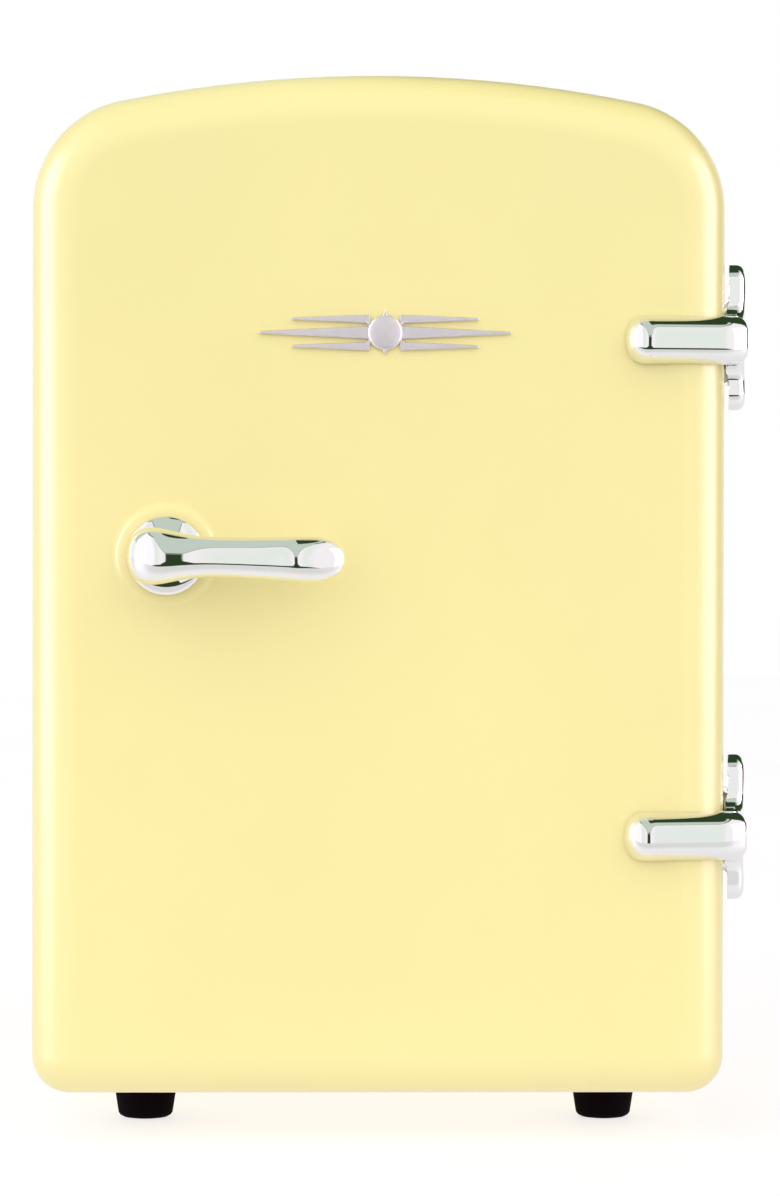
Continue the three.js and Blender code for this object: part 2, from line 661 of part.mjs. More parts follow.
// A lug on the back of the door's hollow with an upturned tip.
function binHook(x) {
  const { half, z, thick, reach, lip } = HOOK;
  const wall = -RECESS.depth;
  const arm = block(x - half, x + half, wall - 1, wall + reach, z - thick, z);
  const tip = block(x - half, x + half, wall + reach - lip, wall + reach, z - thick, z + 1.5);
  return join(arm, tip);
}

const BIN = { width: 114, height: 50, bottom: 58, front: 7, back: -27.7, wall: 1.8 };
const HOOK = { x: 46, half: 5, z: 98, thick: 2.6, reach: 4.4, lip: 1.4 };

// An open-topped tray that hooks over two lugs in the door's hollow.
function doorBin() {
  const { width, height, bottom, front, back, wall } = BIN;
  const side = [
    new THREE.Vector2(back, bottom + height),
    ...arc(back + 3, bottom + 3, 3, 180, 270, 3),
    ...arc(front - 8, bottom + 8, 8, -90, 0, 4),
    new THREE.Vector2(front, bottom + height - 14),
    new THREE.Vector2(back + 12, bottom + height),
  ];
  const inner = [
    new THREE.Vector2(back + wall, bottom + height + 1),
    ...arc(back + 5, bottom + 5, 5 - wall, 180, 270, 3),
    ...arc(front - 8, bottom + 8, 8 - wall, -90, 0, 4),
    new THREE.Vector2(front - wall, bottom + height + 1),
  ];
  const tray = cut(slabX(side, -width / 2, width / 2), slabX(inner, -width / 2 + wall, width / 2 - wall));
  const windows = [-1, 1].map((side) => {
    const x = side * HOOK.x;
    const room = HOOK.half + 0.6;
    return block(x - room, x + room, back - 1, back + wall + 1, HOOK.z - 17, HOOK.z + GAP);
  });
  return cut(tray, ...windows);
}

// ---------------------------------------------------------------- badge
const BADGE = { x: 1.4, z: 214.3, span: 33.4, thick: 0.9 };

// A plain ornament: a six-armed frost star between two tapered bars.
function frontBadge() {
  const y0 = FACE_Y - GAP - BADGE.thick;
  const y1 = FACE_Y - GAP;
  const bars = [-1, 1].flatMap((side) =>
    [
      [0, 1.6, BADGE.span],
      [3.6, 1.1, BADGE.span * 0.74],
      [-3.6, 1.1, BADGE.span * 0.74],
    ].map(([dz, half, reach]) => {
      const outline = [
        new THREE.Vector2(BADGE.x + side * 4, BADGE.z + dz - half),
        new THREE.Vector2(BADGE.x + side * reach, BADGE.z + dz - 0.3),
        new THREE.Vector2(BADGE.x + side * reach, BADGE.z + dz + 0.3),
        new THREE.Vector2(BADGE.x + side * 4, BADGE.z + dz + half),
      ];
      return slabY(side > 0 ? outline : outline.reverse(), y0, y1);
    }),
  );
  const arms = [0, 60, 120].map((turn) => {
    const arm = new THREE.BoxGeometry(12.4, BADGE.thick, 1.3);
    arm.rotateY(THREE.MathUtils.degToRad(turn + 30));
    return solid(arm.translate(BADGE.x, (y0 + y1) / 2, BADGE.z));
  });
  const centre = slabY(circle(BADGE.x, BADGE.z, 4.6, 18), y0, y1);
  return join(centre, ...arms, ...bars);
}

// ---------------------------------------------------------------- lever pull
const LEVER = {
  stemX: -58.3, // the stem sits off the rosette's centre, flush with its outer edge
  stemR: 8.1,
  rise: 12, // how far the lever's axis starts from the door
  tipX: -15.4,
  tipRise: 20.5,
  tipDrop: 0.9,
};
const LEVER_RADII = [7.3, 6.2, 5.5, 5.25, 5.3, 5.55, 5.8, 5.95, 6.02]; // along the lever, stem to tip

function rosette() {
  const { x, z, rosetteR, rosetteT } = PULL;
  const y1 = PULL_SEAT - GAP;
  const y0 = y1 - rosetteT;
  const profile = [[0, y0], [rosetteR - 0.6, y0], [rosetteR, y0 + 0.6], [rosetteR, y1], [0, y1]];
  const holes = pullScrewPlaces().map(([hx, hz]) => rodY(hx, hz, SCREW.holeR, y0 - 1, y1 + 1, 12));
  return cut(turnedY(profile, x, z, 32), ...holes);
}

// The stem stands on the rosette; the lever leans out from it to a round tip.
function lever() {
  const root = PULL_SEAT - 2 * GAP - PULL.rosetteT;
  const from = new THREE.Vector3(LEVER.stemX, FACE_Y - LEVER.rise, PULL.z);
  const to = new THREE.Vector3(LEVER.tipX, FACE_Y - LEVER.tipRise, PULL.z - LEVER.tipDrop);
  const length = from.distanceTo(to);
  const last = LEVER_RADII.length - 1;
  const tip = LEVER_RADII[last];
  const profile = [
    ...arc(0, 0, LEVER_RADII[0], -90, -20, 5),
    ...LEVER_RADII.slice(1).map((r, i) => new THREE.Vector2(r, (length * (i + 1)) / last)),
    ...arc(0, length, tip, 15, 90, 5),
  ];
  profile[0].x = 0;
  profile.at(-1).x = 0;
  const bar = new THREE.LatheGeometry(profile, 18);
  const along = to.clone().sub(from).normalize();
  bar.applyQuaternion(new THREE.Quaternion().setFromUnitVectors(new THREE.Vector3(0, 1, 0), along));
  bar.translate(from.x, from.y, from.z);
  const stem = turnedY(
    [
      [0, FACE_Y - LEVER.rise - 6.5],
      [3.5, FACE_Y - LEVER.rise - 6.2],
      [6.2, FACE_Y - LEVER.rise - 4],
      [7.6, FACE_Y - LEVER.rise],
      [LEVER.stemR, root],
      [0, root],
    ],
    LEVER.stemX,
    PULL.z,
    28,
  );
  const holes = pullScrewPlaces().map(([x, z]) => rodY(x, z, 1.5, root - 6, root + 1, 12));
  return cut(join(solid(bar), stem), ...holes);
}

// Screws that hold the pull and the hinge fingers from inside the door.
function innerScrew(reach) {
  const tip = FACE_Y - reach;
  const head = FACE_Y + SHELL + GAP;
  const profile = [[0, tip], [1.1, tip + 1], [1.1, head], [2.8, head], [2.8, head + 2], [0, head + 2]];
  return turnedY(profile, 0, 0, 12);
}

// ---------------------------------------------------------------- hinges
// Drawn about the bar's mid height, z = 0. The pin stands beside the body, level with the split.
const FINGER = { tipX: 63.1, z: -1.4, height: 13, proud: 7.4, crownX: 71.1, screws: [68.3, 74.2] };
const BAR = { inner: 93.4, outer: 98.2, frontY: -31.5, endR: 4.5, edgeR: 2.2 };
const BAR_TAPER_X = 96.4; // inner face of the bar's ends beside the pin, where they are thinnest
const SWEEP = { radius: 14, from: 9.7, to: 38 }; // leans of the finger's front before and after its sweep

const armScrewPlaces = () =>
  HINGE.heights.flatMap((z) => FINGER.screws.map((x) => [x, z + FINGER.z]));

// The door seen from above with a clearance round it.
function doorPlan(gap) {
  const rim = [];
  for (let i = 0; i <= 8; i++) {
    const angle = (Math.PI / 2) * (i / 8);
    rim.push(
      new THREE.Vector2(
        SIDE_X - FACE_INSET + (FACE_INSET + gap) * Math.sin(angle),
        FACE_Y + FACE_DEPTH - (FACE_DEPTH + gap) * Math.cos(angle),
      ),
    );
  }
  return [
    new THREE.Vector2(0, FACE_Y - gap),
    ...rim,
    new THREE.Vector2(SIDE_X + gap, 30),
    new THREE.Vector2(0, 30),
  ];
}

// The strap's front from above: a wide arc, then a tight one into the bar's outer side.
function strapSweep() {
  const radians = Math.PI / 180;
  const between = SWEEP.radius - BAR.edgeR;
  const edgeX = BAR.outer - BAR.edgeR;
  const wideX = edgeX - between * Math.sin(SWEEP.to * radians);
  const startX = wideX + SWEEP.radius * Math.sin(SWEEP.from * radians);
  const startY = FACE_Y - FINGER.proud + (startX - FINGER.crownX) * Math.tan(SWEEP.from * radians);
  const wideY = startY + SWEEP.radius * Math.cos(SWEEP.from * radians);
  const edgeY = wideY - between * Math.cos(SWEEP.to * radians);
  return [
    ...arc(wideX, wideY, SWEEP.radius, SWEEP.from - 90, SWEEP.to - 90, 4),
    ...arc(edgeX, edgeY, BAR.edgeR, SWEEP.to - 90, 0, 4).slice(1),
  ];
}

// One casting: a finger over the door's front, wrapped round its edge to a bar that carries the pin.
function hingeArm() {
  const half = FINGER.height / 2;
  const low = FINGER.z - half;
  const high = FINGER.z + half;
  const barHalf = HINGE.barH / 2;
  const front = FACE_Y - FINGER.proud;
  const plan = [
    new THREE.Vector2(FINGER.tipX, FACE_Y + 2),
    ...arc(FINGER.crownX, FACE_Y, FINGER.proud, 180, 270, 5),
    ...strapSweep(),
    new THREE.Vector2(BAR.outer, PIN_Y),
    new THREE.Vector2(80, PIN_Y),
  ];
  const face = [
    ...arc(FINGER.tipX + half, FINGER.z, half, 90, 270, 10),
    ...arc(87, low - 4.5, 4.5, 90, 20, 4),
    new THREE.Vector2(BAR.inner, -barHalf),
    new THREE.Vector2(BAR.outer, -barHalf),
    new THREE.Vector2(BAR.outer, barHalf),
    new THREE.Vector2(BAR.inner, barHalf),
    ...arc(87, high + 4.5, 4.5, -20, -90, 4),
  ];
  const profile = [
    new THREE.Vector2(front - 1, low),
    ...arc(BAR.frontY - 7.5, low - 4.5, 4.5, 90, 15, 5),
    ...arc(BAR.frontY + BAR.endR, BAR.endR - barHalf, BAR.endR, 180, 270, 4),
    new THREE.Vector2(PIN_Y, -barHalf),
    new THREE.Vector2(PIN_Y, barHalf),
    ...arc(BAR.frontY + BAR.endR, barHalf - BAR.endR, BAR.endR, 90, 180, 4),
    ...arc(BAR.frontY - 7.5, high + 4.5, 4.5, -15, -90, 5),
    new THREE.Vector2(front - 1, high),
  ];
  const casting = slabZ(plan, -barHalf, barHalf)
    .intersect(slabY(face, front - 2, 10))
    .intersect(slabX(profile, 50, 110));
  const pinLow = LEAF.z - LEAF.half;
  const pinHigh = LEAF.z + LEAF.half;
  const lugs = rodZ(HINGE.pinX, PIN_Y, 2.4, pinLow, pinHigh, 20);
  const pinHole = rodZ(HINGE.pinX, PIN_Y, HINGE.holeR, pinLow - 1, pinHigh + 1, 16);
  const taper = [
    new THREE.Vector2(80, BAR.frontY - 1),
    new THREE.Vector2(BAR.inner, BAR.frontY - 1),
    new THREE.Vector2(BAR_TAPER_X, PIN_Y + 1),
    new THREE.Vector2(80, PIN_Y + 1),
  ];
  const endRooms = [slabZ(taper, pinHigh, 30), slabZ(taper, -30, pinLow)];
  const knuckleRoom = join(
    rodZ(HINGE.pinX, PIN_Y, 3, -7.4, 7.4, 20),
    block(80, 110, PIN_Y, 10, -7.4, 7.4),
    block(80, HINGE.pinX - 2, PIN_Y - 2.2, 10, -7.4, 7.4),
  );
  const door = slabZ(doorPlan(GAP), -40, 40);
  const screws = FINGER.screws.map((x) => rodY(x, FINGER.z, 1.5, FACE_Y - 5.5, FACE_Y + 5, 12));
  return cut(join(cut(casting, ...endRooms), lugs), knuckleRoom, pinHole, door, ...screws);
}

// The cabinet's half: a leaf on the side wall with one knuckle between the arm's two lugs.
function hingeBracket() {
  const x0 = SIDE_X + GAP;
  const plate = slabX(
    roundedRect(LEAF.y1 - LEAF.y0, 2 * LEAF.half, 3, (LEAF.y0 + LEAF.y1) / 2, LEAF.z),
    x0,
    x0 + LEAF.thick,
  );
  const knuckle = rodZ(HINGE.pinX, PIN_Y, 2.4, -6.9, 6.9, 20);
  const web = slabZ(
    [
      new THREE.Vector2(x0, LEAF.y0 - 2.2),
      new THREE.Vector2(HINGE.pinX - 1.4, PIN_Y - 1),
      new THREE.Vector2(HINGE.pinX, PIN_Y + 2.4),
      new THREE.Vector2(x0 + LEAF.thick, LEAF.y0 + 4),
      new THREE.Vector2(x0, LEAF.y0 + 4),
    ],
    -6.9,
    6.9,
  );
  const pinHole = rodZ(HINGE.pinX, PIN_Y, HINGE.pinR + GAP, -8, 8, 16);
  return cut(join(plate, knuckle, web), pinHole, ...LEAF.screws.map(sideHole));
}

function hingePin() {
  const half = LEAF.half - 0.2;
  return rodZ(HINGE.pinX, PIN_Y, HINGE.pinR, LEAF.z - half, LEAF.z + half, 14);
}

// The same screw pointing inward (-X), with its head on the hinge leaf.
const leafScrew = () => panHeadScrew(5.4).rotate([0, 0, -90]);

// ---------------------------------------------------------------- assembly
function part(name, made, material, x = 0, y = 0, z = 0) {
  const mesh = new THREE.Mesh(geometryOf(made), material);
  mesh.name = name;
  mesh.position.set(x, y, z);
  return mesh;
}

const cabinet = new THREE.Group();
cabinet.add(
  part("outer_shell", outerShell(), YELLOW),
  part("inner_liner", innerLiner(), WHITE),
  part("cabinet_insulation", cabinetFoam(), FOAM),
  part("strike_plate", strikePlate(), STEEL),
  part("shelf", shelf(), CLEAR),
  part("cold_plate", coldPlate(), ALUMINIUM),
  part("cold_block", coldBlock(), ALUMINIUM),
  part("cooling_module", coolingModule(), CERAMIC),
  part("heat_sink", heatSink(), ALUMINIUM),
  part("fan_frame", fanFrame(), BLACK),
  part("fan_rotor", fanRotor(), BLACK),
  part("rear_cover", rearCover(), YELLOW),
  part("fan_grille", fanGrille(), BLACK),
  part("ac_inlet", acInlet(), BLACK),
  part("dc_inlet", dcInlet(), BLACK),
  part("switch_bezel", switchBezel(), BLACK),
  part("switch_rocker", switchRocker(), BLACK),
  part("status_led", statusLed(), RED),
  part("control_board", controlBoard(), BOARD),
  part("module_lead", moduleLead(), RED),
  part("fan_lead", fanLead(), BLACK),
);
["front_left", "rear_left", "front_right", "rear_right"].forEach((place, i) => {
  const [x, y] = footPlaces()[i];
  cabinet.add(part(`foot_${place}`, foot(), RUBBER, x, y));
});
["lower_left", "upper_left", "lower_right", "upper_right"].forEach((place, i) => {
  const [x, z] = COVER_SCREWS[i];
  cabinet.add(part(`cover_screw_${place}`, panHeadScrew(7), STEEL, x, REAR_Y + GAP, z));
  const [fanX, fanZ] = fanCorners()[i];
  cabinet.add(part(`fan_screw_${place}`, panHeadScrew(7), STEEL, fanX, REAR_Y + GAP, fanZ));
});

const door = new THREE.Group();
door.add(
  part("door_panel", doorPanel(), YELLOW),
  part("door_liner", doorLiner(), WHITE),
  part("door_insulation", doorFoam(), FOAM),
  part("door_gasket", doorGasket(), SEAL),
  part("door_magnet", doorMagnet(), STEEL),
  part("door_bin", doorBin(), CLEAR),
  part("front_badge", frontBadge(), CHROME),
  part("handle_rosette", rosette(), CHROME),
  part("handle_lever", lever(), CHROME),
  part("handle_screw_upper", innerScrew(8), STEEL, PULL.x, 0, PULL.z + 5),
  part("handle_screw_lower", innerScrew(8), STEEL, PULL.x, 0, PULL.z - 5),
);
["upper", "lower"].forEach((place, i) => {
  const z = HINGE.heights[i];
  door.add(
    part(`hinge_arm_${place}`, hingeArm(), CHROME, 0, 0, z),
    ...FINGER.screws.map((x, k) =>
      part(`hinge_arm_screw_${place}_${k + 1}`, innerScrew(5), STEEL, x, 0, z + FINGER.z),
    ),
  );
  cabinet.add(
    part(`hinge_bracket_${place}`, hingeBracket(), CHROME, 0, 0, z),
    part(`hinge_pin_${place}`, hingePin(), STEEL, 0, 0, z),
  );
  LEAF.screws.forEach((dz, k) => {
    const x = SIDE_X + GAP + LEAF.thick + GAP;
    cabinet.add(part(`bracket_screw_${place}_${k + 1}`, leafScrew(), STEEL, x, LEAF.screwY, z + dz));
  });
});

const fridge = new THREE.Group();
fridge.add(cabinet, door);
const footprint = new THREE.Box3().setFromObject(fridge).getCenter(new THREE.Vector3());
fridge.position.set(-footprint.x, -footprint.y, 0);

export default fridge;
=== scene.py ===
"""Looks for the tabletop fridge: smooth mouldings, chrome trim, a lined interior and a white studio.

The meshes are drawn in millimetres with x = 0 on the body's centre line, y = 0 at the back of the door's
rim and z = 0 at the surface the feet stand on, then moved to the row frame in metres.
"""

import math

import bmesh
import bpy
import numpy as np
from mathutils import Matrix, Quaternion, Vector


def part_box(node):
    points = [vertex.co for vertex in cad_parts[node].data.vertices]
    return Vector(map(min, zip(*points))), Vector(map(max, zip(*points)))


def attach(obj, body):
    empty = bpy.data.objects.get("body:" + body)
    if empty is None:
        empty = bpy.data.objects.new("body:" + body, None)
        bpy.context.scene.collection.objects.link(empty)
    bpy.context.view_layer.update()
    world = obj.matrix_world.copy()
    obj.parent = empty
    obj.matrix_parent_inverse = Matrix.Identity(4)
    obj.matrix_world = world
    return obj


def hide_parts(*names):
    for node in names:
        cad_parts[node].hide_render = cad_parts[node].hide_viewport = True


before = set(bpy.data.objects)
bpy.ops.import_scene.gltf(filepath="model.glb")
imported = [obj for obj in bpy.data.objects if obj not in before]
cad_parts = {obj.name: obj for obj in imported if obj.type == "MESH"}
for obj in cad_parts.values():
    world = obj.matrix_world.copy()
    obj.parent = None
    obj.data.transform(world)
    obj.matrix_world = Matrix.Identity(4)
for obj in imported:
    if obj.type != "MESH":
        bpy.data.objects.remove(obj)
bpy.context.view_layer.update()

# ---------------------------------------------------------------- driving dimensions, mm
DOOR_LOW, DOOR_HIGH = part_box("door_panel")
TO_ROW = Matrix.Translation(((DOOR_LOW.x + DOOR_HIGH.x) / 2, DOOR_HIGH.y, 0)) @ Matrix.Scale(0.001, 4)
TO_DRAWING = TO_ROW.inverted()

SIDE_X = 92
FOOT_H = 12.5
TOP_Z = 283
FACE_Y = -44
FACE_INSET = 12.5  # the door's rounded rim, seen from the front
FACE_DEPTH = 11  # the same rim, front to back
SPLIT = 1.2  # open line between the door's rim and the cabinet
REAR_Y = 201.2
REAR_R = 8  # rounded rear edge of the cabinet
REAR_OPENING = 15  # inset of the service opening in the cabinet's rear wall
REAR_LEDGE = 21  # inset of the ledge that carries the rear panel
CROWN_R = 345
SHOULDER_R = 29
BASE_R = 10
MIN_R = 1.5  # smallest corner left when the outline is inset
WALL = 2.4  # of the yellow mouldings
LINER = 2  # wall of the white mouldings
GAP = 0.3  # between pieces that touch
CAVITY = {"width": 136, "height": 204, "radius": 9, "z": 143, "back": 131.2}
RECESS = {"width": 120, "height": 188, "radius": 8, "floor": -28}  # the hollow in the door liner
PLUG = {"width": 130, "height": 198, "radius": 10, "back": 3}  # the rim round that hollow
FLANGE_Y = -5  # face of the door liner that carries the seal
HINGE_Z = {"upper": 214.1, "lower": 82.9}
PIN_X = 95.8
PIN_Y = 0.6
PIN_R = 1.15
PULL_X = -56.2
PULL_Z = 155.4
BOSS_PROUD = 0.8  # of the pad behind the pull
COOLER_Z = 158
SOCKET_Z = 56
SOCKET_BACK = REAR_Y - 14
SCREW_HOLE = 1.6  # radius


# ---------------------------------------------------------------- outlines
def arc(x, y, radius, start, end, steps):
    """Points of an arc with both ends, angles in degrees."""
    turn = math.radians(end - start) / steps
    first = math.radians(start)
    return [
        (x + radius * math.cos(first + turn * i), y + radius * math.sin(first + turn * i))
        for i in range(steps + 1)
    ]


CORNER_STEPS = 10
LONG_STEPS = 20


def body_outline(inset):
    """The body seen from the front, inset by a distance: (x, z) pairs."""
    crown_z = TOP_Z - CROWN_R
    shoulder_x = SIDE_X - SHOULDER_R
    shoulder_z = crown_z + math.sqrt((CROWN_R - SHOULDER_R) ** 2 - shoulder_x**2)
    lean = math.degrees(math.atan2(shoulder_x, shoulder_z - crown_z))
    base_r = max(BASE_R - inset, MIN_R)
    base_x = SIDE_X - inset - base_r
    base_z = FOOT_H + inset + base_r
    shoulder_r = SHOULDER_R - inset
    return [
        *arc(base_x, base_z, base_r, -90, 0, CORNER_STEPS),
        *arc(shoulder_x, shoulder_z, shoulder_r, 0, 90 - lean, LONG_STEPS),
        *arc(0, crown_z, CROWN_R - inset, 90 - lean, 90 + lean, LONG_STEPS)[1:-1],
        *arc(-shoulder_x, shoulder_z, shoulder_r, 90 + lean, 180, LONG_STEPS),
        *arc(-base_x, base_z, base_r, 180, 270, CORNER_STEPS),
    ]


def tub_outline(width, height, radius, z=CAVITY["z"]):
    """A rounded rectangle with as many points as body_outline, corner for corner."""
    dx = width / 2 - radius
    dz = height / 2 - radius
    top = [(dx - 2 * dx * i / LONG_STEPS, z + height / 2) for i in range(1, LONG_STEPS)]
    return [
        *arc(dx, z - dz, radius, -90, 0, CORNER_STEPS),
        *arc(dx, z + dz, radius, 0, 90, LONG_STEPS),
        *top,
        *arc(-dx, z + dz, radius, 90, 180, LONG_STEPS),
        *arc(-dx, z - dz, radius, 180, 270, CORNER_STEPS),
    ]


def rounded_rect(width, height, radius, x=0, z=0, steps=8):
    dx = width / 2 - radius
    dz = height / 2 - radius
    return [
        *arc(x + dx, z - dz, radius, -90, 0, steps),
        *arc(x + dx, z + dz, radius, 0, 90, steps),
        *arc(x - dx, z + dz, radius, 90, 180, steps),
        *arc(x - dx, z - dz, radius, 180, 270, steps),
    ]


def circle(x, z, radius, steps=48):
    return arc(x, z, radius, 0, 360, steps)[:-1]


def ring_at(points, y):
    """An outline drawn on X and Z, at depth y."""
    return [(x, y, z) for x, z in points]


def body_rings(places):
    """The body's outline at (inset, depth) pairs."""
    return [ring_at(body_outline(inset), y) for inset, y in places]


def tub_rings(size, places):
    """A rounded rectangle at (growth, depth) pairs."""
    width, height, radius = size["width"], size["height"], size["radius"]
    return [ring_at(tub_outline(width + 2 * grow, height + 2 * grow, radius + grow), y) for grow, y in places]


# ---------------------------------------------------------------- meshes
def placed(name, data):
    """A new object in the scene."""
    made = bpy.data.objects.new(name, data)
    bpy.context.scene.collection.objects.link(made)
    return made


def baked(holder):
    """The mesh of an object as its curve settings or modifiers leave it. The object is removed."""
    bpy.context.view_layer.update()
    shape = holder.evaluated_get(bpy.context.evaluated_depsgraph_get())
    mesh = bpy.data.meshes.new_from_object(shape)
    bpy.data.objects.remove(holder)
    return mesh


def loft(name, rings, closed=False):
    """Rings of equally many points joined by quads. closed joins the last ring to the first."""
    mesh = bpy.data.meshes.new(name)
    count = len(rings[0])
    vertices = [point for ring in rings for point in ring]
    faces = []
    pairs = len(rings) if closed else len(rings) - 1
    for r in range(pairs):
        a = r * count
        b = (r + 1) % len(rings) * count
        for i in range(count):
            j = (i + 1) % count
            faces.append((a + i, a + j, b + j, b + i))
    if not closed:
        faces.append(tuple(reversed(range(count))))
        last = (len(rings) - 1) * count
        faces.append(tuple(range(last, last + count)))
    mesh.from_pydata(vertices, [], faces)
    return mesh


AXIS_RADIUS = 1e-3  # a lathe's end on its axis, kept a hair wide so that its cap is a face


def turned(name, profile, steps=64, axis="Y", x=0, y=0, z=0, closed=False):
    """A lathe of (radius, along) pairs about the X, Y or Z axis through a point."""
    rings = []
    for radius, along in profile:
        ring = []
        for i in range(steps):
            angle = 2 * math.pi * i / steps
            a = max(radius, AXIS_RADIUS) * math.cos(angle)
            b = max(radius, AXIS_RADIUS) * math.sin(angle)
            places = {
                "X": (x + along, y + a, z + b),
                "Y": (x + a, y + along, z + b),
                "Z": (x + a, y + b, z + along),
            }
            ring.append(places[axis])
        rings.append(ring)
    return loft(name, rings, closed)


def plate(name, loops, thickness, bevel=0.3, resolution=2):
    """Closed loops of (x, y) as one plate with rounded edges, centred on z = 0. Inner loops are holes."""
    curve = bpy.data.curves.new(name, "CURVE")
    curve.dimensions = "2D"
    curve.fill_mode = "BOTH"
    curve.extrude = thickness / 2 - bevel
    curve.bevel_depth = bevel
    curve.bevel_resolution = resolution
    curve.offset = -bevel
    for points in loops:
        spline = curve.splines.new("POLY")
        spline.points.add(len(points) - 1)
        for point, (u, v) in zip(spline.points, points):
            point.co = (u, v, 0, 1)
        spline.use_cyclic_u = True
    mesh = baked(placed(name, curve))
    bpy.data.curves.remove(curve)
    return mesh


def slab(name, loops, y0, y1, bevel=0.3, resolution=2):
    """A plate whose outline is drawn on X and Z, between two depths."""
    mesh = plate(name, loops, y1 - y0, bevel, resolution)
    mesh.transform(Matrix.Translation((0, (y0 + y1) / 2, 0)) @ Matrix.Rotation(math.pi / 2, 4, "X"))
    return mesh


def box_mesh(name, low, high, bevel=0.4):
    """A box with rounded edges."""
    bm = bmesh.new()
    bmesh.ops.create_cube(bm, size=1)
    size = [high[i] - low[i] for i in range(3)]
    middle = [(high[i] + low[i]) / 2 for i in range(3)]
    bmesh.ops.transform(bm, matrix=Matrix.Translation(middle) @ Matrix.Diagonal((*size, 1)), verts=bm.verts)
    bmesh.ops.bevel(bm, geom=bm.edges[:], offset=bevel, segments=3, profile=0.5, affect="EDGES")
    mesh = bpy.data.meshes.new(name)
    bm.to_mesh(mesh)
    bm.free()
    return mesh


def merged(name, meshes):
    """Several meshes as one."""
    bm = bmesh.new()
    for mesh in meshes:
        bm.from_mesh(mesh)
        bpy.data.meshes.remove(mesh)
    result = bpy.data.meshes.new(name)
    bm.to_mesh(result)
    bm.free()
    return result


def with_modifier(mesh, kind, settings):
    """The mesh after one modifier."""
    holder = placed("holder", mesh)
    modifier = holder.modifiers.new("step", kind)
    for key, value in settings.items():
        setattr(modifier, key, value)
    return baked(holder)


def cut_by(mesh, cutter):
    """A closed mesh less another."""
    tool = placed("cutter", cutter)
    result = with_modifier(mesh, "BOOLEAN", {"operation": "DIFFERENCE", "object": tool, "solver": "EXACT"})
    bpy.data.objects.remove(tool)
    return result


def piece(name, mesh, material, body, replaces=(), sharp=35, weighted=True):
    """Puts a mesh drawn in millimetres into the row frame as a finished piece."""
    mesh.name = name
    mesh.transform(TO_ROW)
    bm = bmesh.new()
    bm.from_mesh(mesh)
    bmesh.ops.remove_doubles(bm, verts=bm.verts, dist=1e-7)
    bmesh.ops.recalc_face_normals(bm, faces=bm.faces)
    bm.to_mesh(mesh)
    bm.free()
    mesh.shade_smooth()
    mesh.set_sharp_from_angle(angle=math.radians(sharp))
    mesh.materials.clear()
    mesh.materials.append(material)
    made = placed(name, mesh)
    if weighted:
        made.modifiers.new("normals", "WEIGHTED_NORMAL").keep_sharp = True
    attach(made, body)
    if replaces:
        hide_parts(*replaces)
    return made


def drawing_of(node):
    """A copy of a CAD node's mesh, in the drawing's millimetres."""
    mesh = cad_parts[node].data.copy()
    mesh.transform(TO_DRAWING)
    return mesh


def refined(node, material, body, bevel=0.3):
    """The CAD node's own shape with its facets merged and its edges rounded."""
    mesh = drawing_of(node)
    bm = bmesh.new()
    bm.from_mesh(mesh)
    bmesh.ops.remove_doubles(bm, verts=bm.verts, dist=1e-4)
    bmesh.ops.dissolve_limit(bm, angle_limit=math.radians(1), verts=bm.verts, edges=bm.edges)
    bm.to_mesh(mesh)
    bm.free()
    rounded = {"width": bevel, "segments": 2, "limit_method": "ANGLE", "angle_limit": math.radians(35)}
    return piece(node + "_moulded", with_modifier(mesh, "BEVEL", rounded), material, body, [node])


# ---------------------------------------------------------------- materials
def feed(tree, socket, value):
    """Links an output to a socket, or sets the socket's own value."""
    if isinstance(value, bpy.types.NodeSocket):
        tree.links.new(value, socket)
    elif socket.type == "RGBA":
        socket.default_value = (*value, 1)
    else:
        socket.default_value = value


def add_node(tree, kind, output, settings=(), **inputs):
    """A new node with its settings and inputs. Returns one of its outputs."""
    made = tree.nodes.new("ShaderNode" + kind)
    for key, value in settings:
        setattr(made, key, value)
    for key, value in inputs.items():
        feed(tree, made.inputs[key.replace("_", " ")], value)
    return made.outputs[output]


def color_ramp(tree, source, stops):
    """Colours between (position, colour) stops, with positions from 0 to 1."""
    made = tree.nodes.new("ShaderNodeValToRGB")
    elements = made.color_ramp.elements
    elements.remove(elements[1])
    for i, (position, color) in enumerate(stops):
        element = elements.new(position) if i else elements[0]
        element.position = position
        element.color = (*color, 1)
    tree.links.new(source, made.inputs["Fac"])
    return made.outputs["Color"]


def drive(material, name, value):
    """Sets or links an input of a material's shader."""
    tree = material.node_tree
    feed(tree, tree.nodes["Principled BSDF"].inputs[name], value)


def new_material(name, color, roughness, metallic=0.0):
    material = bpy.data.materials.new(name)
    material.use_nodes = True
    drive(material, "Base Color", color)
    drive(material, "Roughness", roughness)
    drive(material, "Metallic", metallic)
    return material


def noise(material, scale, detail=3.0, stretch=(1, 1, 1)):
    """A noise texture over the object's own coordinates."""
    tree = material.node_tree
    place = add_node(tree, "Mapping", "Vector", Vector=add_node(tree, "TexCoord", "Object"), Scale=stretch)
    return add_node(tree, "TexNoise", "Fac", Vector=place, Scale=scale, Detail=detail)


def cells(material, scale):
    """Distance from the centres of irregular cells, for beads."""
    tree = material.node_tree
    return add_node(tree, "TexVoronoi", "Distance", Vector=add_node(tree, "TexCoord", "Object"), Scale=scale)


def vary_roughness(material, source, low, high):
    span = {"From_Min": 0.3, "From_Max": 0.7, "To_Min": low, "To_Max": high}
    drive(material, "Roughness", add_node(material.node_tree, "MapRange", "Result", Value=source, **span))


def vary_color(material, source, dark, light):
    drive(material, "Base Color", color_ramp(material.node_tree, source, [(0.3, dark), (0.7, light)]))


def add_bump(material, source, strength, distance):
    settings = {"Height": source, "Strength": strength, "Distance": distance}
    drive(material, "Normal", add_node(material.node_tree, "Bump", "Normal", **settings))


